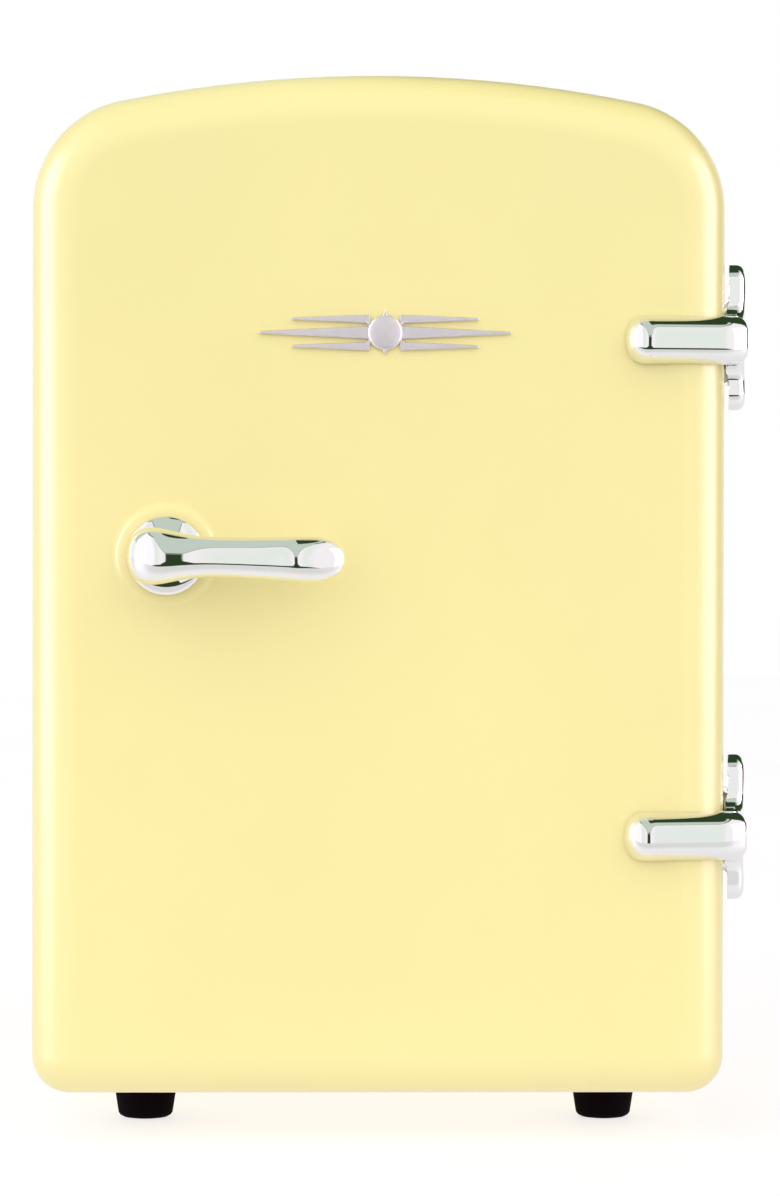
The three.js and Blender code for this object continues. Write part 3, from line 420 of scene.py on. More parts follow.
def tinted(color, factor):
    return tuple(min(1.0, channel * factor) for channel in color)


def plastic(name, color, roughness, grain=0.08, grain_scale=900):
    """Moulded plastic: slight mottling, uneven gloss and a fine grain."""
    material = new_material(name, color, roughness)
    vary_color(material, noise(material, 14), tinted(color, 0.985), tinted(color, 1.012))
    vary_roughness(material, noise(material, 60), roughness * 0.88, roughness * 1.12)
    add_bump(material, noise(material, grain_scale, 2), grain, 0.00004)
    return material


def make_yellow():
    """Pastel lacquer over smooth plastic."""
    material = plastic("yellow_gloss_plastic", (0.90, 0.793, 0.355), 0.32)
    drive(material, "Coat Weight", 0.7)
    drive(material, "Coat Roughness", 0.28)
    return material


def make_chrome():
    """Plated casting: almost a mirror, with a faint waviness and handling haze."""
    material = new_material("chrome", (0.88, 0.885, 0.89), 0.04, 1.0)
    vary_roughness(material, noise(material, 90), 0.025, 0.06)
    add_bump(material, noise(material, 110, 1), 0.02, 0.0003)
    return material


def make_metal(name, color, roughness, stretch=(1, 1, 1), scale=500, depth=0.15):
    """Bare metal with grain, drawn out along an axis where stretch is small."""
    material = new_material(name, color, roughness, 1.0)
    grain = noise(material, scale, 4, stretch)
    vary_color(material, noise(material, 30), tinted(color, 0.95), tinted(color, 1.04))
    vary_roughness(material, grain, roughness * 0.8, roughness * 1.25)
    add_bump(material, grain, depth, 0.00003)
    return material


def make_rubber(name, color, roughness):
    """Soft and nearly without a sheen, with a powdery speck."""
    material = new_material(name, color, roughness)
    drive(material, "Specular IOR Level", 0.04)
    speck = noise(material, 1500, 4)
    vary_color(material, noise(material, 40), tinted(color, 0.85), tinted(color, 1.15))
    vary_roughness(material, speck, roughness * 0.85, roughness * 1.1)
    add_bump(material, speck, 0.35, 0.00005)
    return material


def make_clear():
    """Clear styrene with a faint haze."""
    material = new_material("clear_styrene", (0.93, 0.96, 0.97), 0.08)
    drive(material, "Transmission Weight", 0.9)
    drive(material, "IOR", 1.49)
    vary_roughness(material, noise(material, 50), 0.05, 0.16)
    add_bump(material, noise(material, 60, 1), 0.05, 0.0003)
    return material


def make_foam():
    """Expanded polystyrene: packed beads."""
    material = new_material("bead_foam", (0.88, 0.87, 0.83), 0.9)
    beads = cells(material, 320)
    vary_color(material, beads, (0.90, 0.89, 0.85), (0.80, 0.79, 0.75))
    vary_roughness(material, beads, 0.8, 0.95)
    add_bump(material, beads, 0.5, 0.0004)
    return material


def make_board():
    """Solder mask over copper tracks."""
    material = new_material("solder_mask", (0.03, 0.16, 0.06), 0.4)
    tracks = noise(material, 160, 0, (1, 1, 6))
    vary_color(material, tracks, (0.02, 0.13, 0.045), (0.05, 0.22, 0.08))
    vary_roughness(material, tracks, 0.35, 0.5)
    add_bump(material, tracks, 0.2, 0.0001)
    return material


YELLOW = make_yellow()
CHROME = make_chrome()
SATIN = make_metal("satin_chrome", (0.84, 0.80, 0.84), 0.42, scale=2500, depth=0.04)
STEEL = make_metal("zinc_steel", (0.62, 0.63, 0.65), 0.3)
BRUSHED = make_metal("brushed_aluminium", (0.80, 0.81, 0.82), 0.36, (1, 1, 0.03), 1400)
FINNED = make_metal("extruded_aluminium", (0.72, 0.73, 0.74), 0.42, (1, 1, 0.05), 900)
RUBBER = make_rubber("black_rubber", (0.003, 0.001, 0.002), 0.8)
SEAL = make_rubber("grey_vinyl_seal", (0.62, 0.63, 0.61), 0.5)
WHITE = plastic("white_liner_plastic", (0.84, 0.84, 0.82), 0.35, 0.04, 400)
BLACK = plastic("black_grained_plastic", (0.016, 0.016, 0.018), 0.42, 0.5, 1600)
CERAMIC = plastic("ceramic_wafer", (0.80, 0.80, 0.77), 0.55, 0.2, 1200)
RED = plastic("red_tinted_plastic", (0.55, 0.03, 0.02), 0.2, 0.1, 500)
CLEAR = make_clear()
FOAM = make_foam()
BOARD = make_board()


# ---------------------------------------------------------------- door
def rim_rings(inset, steps=14):
    """The rounded rim of the door's front, from the flat face outwards."""
    rings = []
    for i in range(steps, -1, -1):
        angle = math.pi / 2 * i / steps
        y = FACE_Y + inset + FACE_DEPTH * (1 - math.sin(angle))
        rings.append(ring_at(body_outline(inset + FACE_INSET * (1 - math.cos(angle))), y))
    return rings


def build_door_shell():
    """The door's outer moulding, with the low round pad that the pull stands on."""
    rings = [
        *rim_rings(0),
        *body_rings([(0, -20), (0, -0.9), (0.25, -0.25), (0.9, 0), (WALL - 0.4, 0), (WALL, -0.4)]),
        *reversed(rim_rings(WALL)),
    ]
    top = [(0, -BOSS_PROUD), (12.0, -BOSS_PROUD), (12.6, -0.72), (13.0, -0.5), (13.2, -0.25)]
    foot = [(13.6, -0.07), (14.4, 0.02), (14.4, 0.4), (0, 0.4)]
    boss = turned("boss", top + foot, 128, "Y", PULL_X, FACE_Y, PULL_Z)
    mesh = merged("door_shell", [loft("door_shell", rings), boss])
    piece("door_shell", mesh, YELLOW, "door", ["door_panel"])


BIN_HOOK = {"x": 46, "half": 5, "low": 95.4, "arm": 98, "tip": 99.5, "reach": 4.4}


def build_door_liner():
    """One white moulding: a flange, a raised plug round the recess, and the recess with two bin hooks."""
    floor, rise, under = RECESS["floor"], PLUG["back"], FLANGE_Y - LINER
    rings = [
        *tub_rings(RECESS, [(-5, floor), (-2.5, floor + 0.35), (-0.7, floor + 1.8), (0, floor + 5)]),
        *tub_rings(RECESS, [(0, rise - 1.8), (0.5, rise - 0.6), (1.7, rise)]),
        *tub_rings(PLUG, [(-1.8, rise), (-0.5, rise - 0.5), (0, rise - 1.8)]),
        *tub_rings(PLUG, [(0, FLANGE_Y + 1.5), (0.4, FLANGE_Y + 0.4), (1.5, FLANGE_Y)]),
        *body_rings([(WALL + GAP + 0.4, FLANGE_Y), (WALL + GAP, FLANGE_Y - 0.4), (WALL + GAP, under)]),
        *tub_rings(RECESS, [(LINER + 2, under), (LINER, under - 2)]),
        *tub_rings(RECESS, [(LINER, floor + 3), (LINER - 3, floor - LINER)]),
    ]
    hooks = []
    half, low, reach = BIN_HOOK["half"], BIN_HOOK["low"], floor + BIN_HOOK["reach"]
    for x in (-BIN_HOOK["x"], BIN_HOOK["x"]):
        hooks.append(box_mesh("arm", (x - half, floor - 1, low), (x + half, reach, BIN_HOOK["arm"]), 0.5))
        hooks.append(box_mesh("tip", (x - half, floor + 3, low), (x + half, reach, BIN_HOOK["tip"]), 0.5))
    mesh = merged("door_liner_moulded", [loft("door_liner_moulded", rings), *hooks])
    piece("door_liner_moulded", mesh, WHITE, "door", ["door_liner"])


SEAL_INSETS = (5.0, 13.5)  # of the seal's outer and inner edge


def build_gasket():
    """A bellows seal on the door liner's flange, closed by a rounded lip towards the cabinet."""
    bellows = [(5.0, -4.7), (5.0, -3.5), (5.5, -3.0), (6.4, -2.7), (6.5, -1.9), (7.2, -1.5), (6.5, -1.1)]
    lip = [(6.5, -0.2), (6.8, 0.4), (7.6, 0.8)]
    outer = bellows + lip
    inner = [(sum(SEAL_INSETS) - inset, y) for inset, y in reversed(outer)]
    mesh = loft("door_seal", body_rings([*outer, (9.2, 0.9), *inner]), closed=True)
    piece("door_seal", mesh, SEAL, "door", ["door_gasket"], sharp=60)


BADGE_X = 1.4
BADGE_Z = 214.3
BADGE_SPAN = 33.4
BADGE_BACK = FACE_Y - GAP
BAR_RISE = 3.6  # of the outer bars from the middle one
BAR_ROOT = 4.0  # where the bars start, under the dome
TIP_R = 0.35


def star_arm(turn):
    """A pointed leaf from the star's centre, as (x, z) pairs."""
    leaf = [(0, -1.2), (3.6, -0.9), (6.2, 0), (3.6, 0.9), (0, 1.2)]
    angle = math.radians(turn)
    cos, sin = math.cos(angle), math.sin(angle)
    return [(BADGE_X + u * cos - v * sin, BADGE_Z + u * sin + v * cos) for u, v in leaf]


def tapered_bar(side, rise, half, reach):
    """A bar with a round end that narrows away from the star."""
    tip = [(reach + TIP_R * math.cos(a), TIP_R * math.sin(a)) for a in (-1.2, -0.6, 0, 0.6, 1.2)]
    points = [(BAR_ROOT, -half), *tip, (BAR_ROOT, half)]
    return [(BADGE_X + side * u, BADGE_Z + rise + v) for u, v in points]


def build_badge():
    """A generic ornament: a domed six-armed star between three tapered bars on each side."""
    meshes = []
    short = 0.74 * BADGE_SPAN
    for side in (-1, 1):
        for rise, half, reach in ((0, 1.7, BADGE_SPAN), (BAR_RISE, 1.15, short), (-BAR_RISE, 1.15, short)):
            outline = tapered_bar(side, rise, half, reach - 0.4)
            meshes.append(slab("bar", [outline], BADGE_BACK - 0.8, BADGE_BACK, 0.22))
    for turn in range(30, 390, 60):
        meshes.append(slab("arm", [star_arm(turn)], BADGE_BACK - 0.86, BADGE_BACK, 0.22))
    dome = [(0, -1.2), (1.6, -1.17), (2.9, -1.1), (3.9, -1.0), (4.4, -0.85), (4.6, -0.6), (4.6, 0), (0, 0)]
    meshes.append(turned("dome", dome, 64, "Y", BADGE_X, BADGE_BACK, BADGE_Z))
    piece("badge_ornament", merged("badge_ornament", meshes), SATIN, "door", ["front_badge"])


build_door_shell()
build_door_liner()
build_gasket()
build_badge()
refined("door_bin", CLEAR, "door_bin", 0.35)


# ---------------------------------------------------------------- pull
ROSETTE_BACK = FACE_Y - BOSS_PROUD - GAP

# The lever's sections along X: (x, height, front and back distance off the door's face, drop of the middle).
LEVER_SECTIONS = [
    (-66.35, 0.6, 9.7, 8.9, 0.0),
    (-66.2, 4.0, 11.1, 7.2, 0.0),
    (-65.7, 7.6, 12.8, 5.6, 0.0),
    (-64.8, 10.8, 14.5, 4.5, 0.0),
    (-63.4, 13.4, 16.2, 4.1, 0.0),
    (-61.4, 14.9, 17.7, 4.0, 0.0),
    (-59.2, 15.2, 18.7, 4.0, 0.0),
    (-57.0, 14.6, 19.05, 4.0, 0.05),
    (-54.5, 13.5, 19.1, 4.1, 0.1),
    (-51.5, 12.1, 19.15, 4.6, 0.1),
    (-48.5, 11.2, 19.35, 6.4, 0.15),
    (-45.0, 10.6, 19.85, 8.6, 0.2),
    (-40.0, 10.4, 20.8, 10.0, 0.3),
    (-34.0, 10.7, 22.0, 11.4, 0.45),
    (-28.0, 11.2, 23.25, 12.8, 0.6),
    (-24.5, 11.6, 24.1, 13.6, 0.7),
    (-22.7, 11.8, 24.45, 14.0, 0.75),
    (-21.3, 11.95, 24.45, 14.3, 0.8),
    (-19.3, 12.0, 24.1, 14.6, 0.85),
    (-17.0, 11.9, 23.45, 15.0, 0.85),
    (-14.8, 11.4, 22.6, 15.3, 0.9),
    (-12.6, 9.8, 21.5, 16.2, 0.9),
    (-10.8, 7.2, 20.4, 17.2, 0.9),
    (-9.8, 4.3, 19.6, 18.2, 0.9),
    (-9.42, 0.8, 19.1, 18.8, 0.9),
]
LEVER_FLATNESS = 0.39  # depth of the front half of a section, as a share of its height
LEVER_SIDES = 40


def build_lever():
    """One casting: a stem on the rosette that swells into a lever leaning away from the door."""
    rings = []
    for x, height, front, back, drop in LEVER_SECTIONS:
        shallow = min(LEVER_FLATNESS * height, (front - back) / 2)
        middle = front - shallow
        ring = []
        for i in range(LEVER_SIDES):
            angle = 2 * math.pi * i / LEVER_SIDES
            deep = shallow if math.cos(angle) > 0 else middle - back
            y = FACE_Y - middle - deep * math.cos(angle)
            ring.append((x, y, PULL_Z - drop + height / 2 * math.sin(angle)))
        rings.append(ring)
    mesh = with_modifier(loft("lever", rings), "SUBSURF", {"levels": 2, "render_levels": 2})
    piece("lever_cast", mesh, CHROME, "door", ["handle_lever"], sharp=80)


def build_rosette():
    """A low dome with a rounded edge."""
    dome = [(0, -3.4), (3, -3.25), (6, -2.85), (8, -2.4), (9.3, -2.0), (10.1, -1.55)]
    edge = [(10.45, -1.0), (10.5, -0.5), (10.5, 0), (0, 0)]
    mesh = turned("rosette_turned", dome + edge, 96, "Y", PULL_X, ROSETTE_BACK, PULL_Z)
    piece("rosette_turned", mesh, CHROME, "door", ["handle_rosette"], sharp=50)


build_lever()
build_rosette()


# ---------------------------------------------------------------- hinges
# Heights are from the middle of a hinge. slope is in degrees; edge and end are rounding radii.
FINGER = {"tip": 63.7, "proud": 7.4, "z": -1.4, "half": 6.5, "slope": 9.7, "edge": 4.2}
BAR = {"inner": 93.4, "outer": 98.2, "front": -31.5, "half": 19.5, "edge": 2.2, "end": 4.5, "taper": 96.4}
SWEEP = {"radius": 14, "to": 38}  # the finger's outer end turns back in a wide arc, up to this lean
LUG = {"z": -1.4, "half": 10.6, "radius": 2.4, "hole": 1.45}
KNUCKLE = {"half": 7.4, "radius": 3, "slot": 2.2}  # room for the bracket's knuckle and its leaf
FINGER_SCREWS = {"x": (68.3, 74.2), "radius": 1.5, "depth": 5.2}
LEAF_T = 2.2  # thickness of the bracket's leaf on the cabinet's side
BRACKET_SCREW_Y = 16.2
BRACKET_SCREWS = {1: -7.4, 2: 4.6}  # heights from the middle of a hinge
FILLET = 4.5  # between the finger and the bar
FILLET_END = 80  # degrees of the fillet's arc
WAIST = 0.9  # how far the bar's outer face is dished at the finger's height
DOME_R = 10.4  # the finger's front face, seen from its end
BOW_R = 100  # the bar's front face, seen from the side
BAR_LEAN = 0.14  # how much the bar's front face falls back towards its outer edge


def polygon_distance(points, u, v):
    """Signed distance from (u, v) to a closed outline, negative inside."""
    nearest = np.full(u.shape, 1e9)
    inside = np.zeros(u.shape, bool)
    for (u0, v0), (u1, v1) in zip(points, points[1:] + points[:1]):
        du, dv = u1 - u0, v1 - v0
        along = np.clip(((u - u0) * du + (v - v0) * dv) / (du * du + dv * dv), 0, 1)
        nearest = np.minimum(nearest, np.hypot(u - u0 - along * du, v - v0 - along * dv))
        crosses = (v0 > v) != (v1 > v)
        rise = np.where(crosses, v1 - v0, 1)
        inside ^= crosses & (u < (v - v0) * (u1 - u0) / rise + u0)
    return np.where(inside, -nearest, nearest)


def smooth_step(value, low, high):
    t = np.clip((value - low) / (high - low), 0, 1)
    return t * t * (3 - 2 * t)


def round_and(a, b, radius):
    """Intersection of two distances, with the edge between them rounded to a radius."""
    both = np.hypot(np.maximum(radius + a, 0), np.maximum(radius + b, 0))
    return np.minimum(-radius, np.maximum(a, b)) + both


def round_or(a, b, radius):
    return -round_and(-a, -b, radius)


def arm_plan():
    """The casting from above: over the tip, along the finger, round the door's edge and back to the pin."""
    proud, lean = FINGER["proud"], math.radians(FINGER["slope"])
    crown_x = FINGER["tip"] + proud
    ridge = (crown_x + proud * math.sin(lean), FACE_Y - proud * math.cos(lean))
    radius, turn = SWEEP["radius"], math.radians(SWEEP["to"])
    edge_x = BAR["outer"] - BAR["edge"]
    wide_x = edge_x - (radius - BAR["edge"]) * math.sin(turn)
    start_x = wide_x + radius * math.sin(lean)
    wide_y = ridge[1] + (start_x - ridge[0]) * math.tan(lean) + radius * math.cos(lean)
    edge_y = wide_y - (radius - BAR["edge"]) * math.cos(turn)
    return [
        *arc(crown_x, FACE_Y, proud, 180, 270 + FINGER["slope"], 24),
        *arc(wide_x, wide_y, radius, FINGER["slope"] - 90, SWEEP["to"] - 90, 20),
        *arc(edge_x, edge_y, BAR["edge"], SWEEP["to"] - 90, 0, 14),
        (BAR["outer"], PIN_Y),
        (80, PIN_Y),
        (FINGER["tip"], FACE_Y + 4),
    ]


def arm_face():
    """The casting from the front, about its mid height."""
    low = FINGER["z"] - FINGER["half"]
    high = FINGER["z"] + FINGER["half"]
    half = BAR["half"]
    turn_x = BAR["inner"] - FILLET * math.sin(math.radians(FILLET_END))
    return [
        *arc(FINGER["tip"] - 0.4 + FINGER["half"], FINGER["z"], FINGER["half"], 90, 270, 32),
        *arc(turn_x, low - FILLET, FILLET, 90, 90 - FILLET_END, 12),
        (BAR["inner"], -half),
        (BAR["outer"] + 3, -half),
        (BAR["outer"] + 3, half),
        (BAR["inner"], half),
        *arc(turn_x, high + FILLET, FILLET, FILLET_END - 90, -90, 12),
    ]


def arm_side():
    """The casting from the side: the finger's height in front, the bar's from its front edge back."""
    low = FINGER["z"] - FINGER["half"]
    high = FINGER["z"] + FINGER["half"]
    front, half, end = BAR["front"], BAR["half"], BAR["end"]
    turn_y = front - FILLET * math.sin(math.radians(FILLET_END))
    return [
        (FACE_Y - 20, high),
        (FACE_Y - 20, low),
        *arc(turn_y, low - FILLET, FILLET, 90, 90 - FILLET_END, 12),
        *arc(front + end, end - half, end, 180, 270, 12),
        (PIN_Y + 2, -half),
        (PIN_Y + 2, half),
        *arc(front + end, half - end, end, 90, 180, 12),
        *arc(turn_y, high + FILLET, FILLET, FILLET_END - 90, -90, 12),
    ]


def door_plan():
    """The door's edge from above, with the gap that the casting keeps to it."""
    rim = []
    for i in range(17):
        angle = math.pi / 2 * i / 16
        x = SIDE_X - FACE_INSET + (FACE_INSET + GAP) * math.sin(angle)
        rim.append((x, FACE_Y + FACE_DEPTH - (FACE_DEPTH + GAP) * math.cos(angle)))
    return [(40, FACE_Y - GAP), *rim, (SIDE_X + GAP, 30), (40, 30)]


ARM_OUTLINES = {"plan": arm_plan(), "face": arm_face(), "side": arm_side(), "door": door_plan()}


def arm_distance(p):
    """Roughly the distance of points from the casting's surface, negative inside."""
    x, y, z = p[:, 0], p[:, 1], p[:, 2]
    dish = WAIST * np.exp(-(((z - FINGER["z"]) / 8) ** 2)) * smooth_step(x, 90, 95)
    on_bar = smooth_step(y, -38, -30)
    dome = np.minimum((z - FINGER["z"]) ** 2, FINGER["half"] ** 2) / (2 * DOME_R)
    plan = polygon_distance(ARM_OUTLINES["plan"], x + dish, y - dome * (1 - on_bar))
    bow = z**2 / (2 * BOW_R) + BAR_LEAN * (x - BAR["inner"])
    upright = np.maximum(
        polygon_distance(ARM_OUTLINES["face"], x, z),
        polygon_distance(ARM_OUTLINES["side"], y - bow, z),
    )
    casting = round_and(plan, upright, FINGER["edge"] + (BAR["edge"] - FINGER["edge"]) * on_bar)
    from_lug = np.abs(z - LUG["z"]) - LUG["half"]
    slant = (BAR["taper"] - BAR["inner"]) / (PIN_Y + 2 - BAR["front"])
    behind = (BAR["inner"] + slant * (y - BAR["front"]) - x) / math.hypot(1, slant)
    casting = np.maximum(casting, np.minimum(behind, from_lug))
    pin = np.hypot(x - PIN_X, y - PIN_Y)
    casting = round_or(casting, round_and(pin - LUG["radius"], from_lug, 0.3), 0.4)
    casting = round_and(casting, -polygon_distance(ARM_OUTLINES["door"], x, y), 0.35)
    slot = np.maximum(PIN_Y - KNUCKLE["slot"] - y, x - PIN_X + 2)
    knuckle = np.minimum(np.minimum(pin - KNUCKLE["radius"], slot), PIN_Y - y)
    knuckle = np.maximum(knuckle, np.abs(z) - KNUCKLE["half"])
    holes = LUG["hole"] - pin
    for screw_x in FINGER_SCREWS["x"]:
        around = np.hypot(x - screw_x, z - FINGER["z"]) - FINGER_SCREWS["radius"]
        holes = np.maximum(holes, -np.maximum(around, FACE_Y - FINGER_SCREWS["depth"] - y))
    return np.maximum(np.maximum(casting, x - BAR["outer"]), np.maximum(-knuckle, holes))


def slope_of(distance, points, step=0.02):
    """The gradient of a distance at points."""
    slope = np.empty_like(points)
    for axis in range(3):
        shift = np.zeros(3)
        shift[axis] = step
        slope[:, axis] = (distance(points + shift) - distance(points - shift)) / (2 * step)
    return slope


def settle(points, distance, rounds=6):
    """Moves points along the distance's slope until they lie on its zero surface."""
    for _ in range(rounds):
        slope = slope_of(distance, points)
        length = np.maximum((slope**2).sum(1), 0.2)
        move = slope * (distance(points) / length)[:, None]
        points = points - np.clip(move, -0.6, 0.6)
    return points


ARM_GRID = 0.36  # spacing of the casting's vertices


def build_arms():
    """The strap castings: the CAD solid remeshed finely, then settled on a smoothly rounded surface."""
    mesh = drawing_of("hinge_arm_upper")
    mesh.transform(Matrix.Translation((0, 0, -HINGE_Z["upper"])))
    mesh = with_modifier(mesh, "REMESH", {"mode": "VOXEL", "voxel_size": ARM_GRID})
    flat = np.empty(3 * len(mesh.vertices))
    mesh.vertices.foreach_get("co", flat)
    points = settle(flat.reshape(-1, 3), arm_distance)
    mesh.vertices.foreach_set("co", points.ravel())
    normals = slope_of(arm_distance, points)
    normals /= np.linalg.norm(normals, axis=1, keepdims=True)
    for place, z in HINGE_Z.items():
        copy = mesh.copy()
        copy.transform(Matrix.Translation((0, 0, z)))
        name = f"hinge_strap_{place}"
        made = piece(name, copy, CHROME, "door", [f"hinge_arm_{place}"], sharp=180, weighted=False)
        if len(made.data.vertices) == len(normals):
            made.data.normals_split_custom_set_from_vertices(normals.tolist())


def build_brackets():
    for place, z in HINGE_Z.items():
        refined(f"hinge_bracket_{place}", CHROME, "cabinet", 0.35)
        reach = LUG["half"] - 0.2
        end = [(0, reach), (PIN_R - 0.35, reach), (PIN_R, reach - 0.35)]
        profile = [(radius, -along) for radius, along in end] + end[::-1]
        mesh = turned("pin", profile, 32, "Z", PIN_X, PIN_Y, z + LUG["z"])
        piece(f"hinge_pin_{place}_turned", mesh, STEEL, "cabinet", [f"hinge_pin_{place}"])


build_arms()
build_brackets()


# ---------------------------------------------------------------- cabinet
def build_cabinet_shell():
    """The outer moulding, open at the front, with a ledge for the rear panel in its rear wall."""
    rear = []
    for i in range(11):
        angle = math.pi / 20 * i
        rear.append((REAR_R * (1 - math.cos(angle)), REAR_Y - REAR_R * (1 - math.sin(angle))))
    ledge = REAR_Y - WALL - GAP
    under = ledge - WALL
    rings = [
        *body_rings([(WALL, SPLIT + 0.4), (WALL - 0.4, SPLIT), (0.9, SPLIT), (0.25, SPLIT + 0.25)]),
        *body_rings([(0, SPLIT + 0.9), (0, 60), (0, 130), *rear]),
        *body_rings([(REAR_OPENING - 0.6, REAR_Y), (REAR_OPENING, REAR_Y - 0.6), (REAR_OPENING, ledge)]),
        *body_rings([(REAR_LEDGE, ledge), (REAR_LEDGE, under), (REAR_R, under), (WALL, REAR_Y - 14)]),
    ]
    mesh = loft("cabinet_shell", rings, closed=True)
    piece("cabinet_shell", mesh, YELLOW, "cabinet", ["outer_shell"])


RAIL_Z = (161, 167.2)  # undersides of the rails below and above the shelf
COOLER_WINDOW = 44  # the liner's square hole for the cold block


def build_liner():
    """The white tub: a flange at the front, rounded inner corners, and shelf rails on both sides."""
    back = CAVITY["back"]
    window = tub_outline(COOLER_WINDOW, COOLER_WINDOW, 3, COOLER_Z)
    rings = [
        *body_rings([(WALL + GAP, SPLIT + 0.4), (WALL + GAP + 0.4, SPLIT)]),
        *tub_rings(CAVITY, [(2.2, SPLIT), (0.9, SPLIT + 0.35), (0.2, SPLIT + 1.3), (0, SPLIT + 2.5)]),
        *tub_rings(CAVITY, [(0, back - 6), (-0.9, back - 2.6), (-2.9, back - 0.7), (-6, back)]),
        ring_at(window, back),
        ring_at(window, back + LINER),
        *tub_rings(CAVITY, [(LINER - 4, back + LINER), (LINER, back - 3)]),
        *tub_rings(CAVITY, [(LINER, SPLIT + LINER + 1), (LINER + 1, SPLIT + LINER)]),
        *body_rings([(WALL + GAP, SPLIT + LINER)]),
    ]
    rails = []
    wall_x = CAVITY["width"] / 2
    for side in (-1, 1):
        near, far = sorted((side * (wall_x - 4), side * (wall_x + 1)))
        for z in RAIL_Z:
            rails.append(box_mesh("rail", (near, SPLIT + 14, z), (far, back - 0.8, z + 2), 0.6))
    mesh = merged("liner_tub", [loft("liner_tub", rings, closed=True), *rails])
    piece("liner_tub", mesh, WHITE, "cabinet", ["inner_liner"])


FOOT_X = 63.3
FOOT_Y = {"front": 14, "rear": REAR_Y - 26}


def build_feet():
    """A tapered rubber foot with a rounded sole and a stem that fills its hole in the moulding."""
    sole = [(0, 0), (4.6, 0), (6.0, 0.22), (7.0, 0.75), (7.45, 1.4), (7.6, 2.2)]
    top = [(9.0, FOOT_H - 1.2), (9.15, FOOT_H - 0.6), (9.1, FOOT_H - GAP)]
    stem = [(2.7, FOOT_H - GAP), (2.7, FOOT_H + 3.4), (0, FOOT_H + 3.4)]
    for side, x in (("left", -FOOT_X), ("right", FOOT_X)):
        for end, y in FOOT_Y.items():
            mesh = turned("foot", sole + top + stem, 72, "Z", x, y)
            node = f"foot_{end}_{side}"
            piece(node + "_moulded", mesh, RUBBER, "cabinet", [node], sharp=50)


SHELF = {"half": 66.7, "front": 30.2, "back": 126.2, "low": 163.3, "high": 166.3, "slots": 11}
SHELF["lip"] = (56, 2.4, 9)  # half its width, its thickness and its height


def build_shelf():
    """A slotted tray with a raised front lip."""
    half, front, back, low = SHELF["half"], SHELF["front"], SHELF["back"], SHELF["low"]
    middle = (front + back) / 2
    pitch = (2 * half - 20) / SHELF["slots"]
    loops = [rounded_rect(2 * half, back - front, 1.2, 0, middle)]
    for i in range(SHELF["slots"]):
        loops.append(rounded_rect(6, back - front - 18, 2.8, -half + 10 + pitch * (i + 0.5), middle))
    tray = plate("tray", loops, SHELF["high"] - low, 0.5)
    tray.transform(Matrix.Translation((0, 0, (low + SHELF["high"]) / 2)))
    lip_x, lip_y, lip_z = SHELF["lip"]
    lip = box_mesh("lip", (-lip_x, front, low), (lip_x, front + lip_y, low + lip_z), 0.7)
    piece("shelf_tray", merged("shelf_tray", [tray, lip]), CLEAR, "shelf", ["shelf"])


def build_cold_plate():
    back = CAVITY["back"]
    mesh = slab("cold_plate", [rounded_rect(104, 104, 6, 0, COOLER_Z)], back - 3.3, back - GAP, 0.6)
    piece("cold_plate_milled", mesh, BRUSHED, "cabinet", ["cold_plate"])


build_cabinet_shell()
build_liner()
build_feet()
build_shelf()
build_cold_plate()


# ---------------------------------------------------------------- fan
FAN_FRONT = REAR_Y - 17.7
FAN_REAR = REAR_Y - 2.7
HUB_R = 15.5
BLADE_TIP = 36.6
BLADES = 7
STATIONS = 8  # along a blade, and across it
FAN_SCREW = 35.75  # half the spacing of the fan's corner screws


def blade(turn):
    """A cambered, twisted blade from inside the hub to its rounded tip."""
    rings = []
    root = HUB_R - 1.5
    middle = (FAN_FRONT + FAN_REAR) / 2 + 0.5
    for i in range(STATIONS + 1):
        t = i / STATIONS
        radius = root + (BLADE_TIP - root) * t
        pitch = math.radians(52 - 22 * t)
        chord = 12.5 + 3.5 * t - 5 * max(t - 0.8, 0)
        upper, lower = [], []
        for k in range(STATIONS + 1):
            u = k / STATIONS - 0.5
            camber = 1.1 * (1 - 4 * u * u)
            thick = 0.15 + 0.45 * math.sqrt(max(1 - 4 * u * u, 0))
            upper.append((u * chord, camber + thick))
            lower.append((u * chord, camber - thick))
        ring = []
        for along, up in upper + lower[::-1]:
            across = along * math.cos(pitch) - up * math.sin(pitch)
            depth = along * math.sin(pitch) + up * math.cos(pitch)
            angle = turn + 0.1 * t + across / radius
            x, up = radius * math.cos(angle), radius * math.sin(angle)
            ring.append((x, middle + depth * 0.72, COOLER_Z + up))
        rings.append(ring)
    return loft("blade", rings)


def build_rotor():
    """A hollow hub, open to the front, with its blades."""
    front, rear, boss = FAN_FRONT + 2.5, FAN_REAR - 1, FAN_FRONT + 10.6
    side = [(1.8, front), (HUB_R - 0.5, front), (HUB_R, front + 0.5), (HUB_R, rear - 2)]
    cap = [(HUB_R - 0.4, rear - 1.2), (HUB_R - 1.4, rear - 0.7), (7, rear - 0.15), (0, rear)]
    hub = side + cap + [(0, boss), (1.8, boss)]
    meshes = [turned("hub", hub, 64, "Y", 0, 0, COOLER_Z, closed=True)]
    meshes += [blade(2 * math.pi * i / BLADES) for i in range(BLADES)]
    mesh = merged("rotor_bladed", meshes)
    piece("rotor_bladed", mesh, BLACK, "fan", ["fan_rotor"], sharp=45)


build_rotor()
refined("fan_frame", BLACK, "cabinet", 0.3)


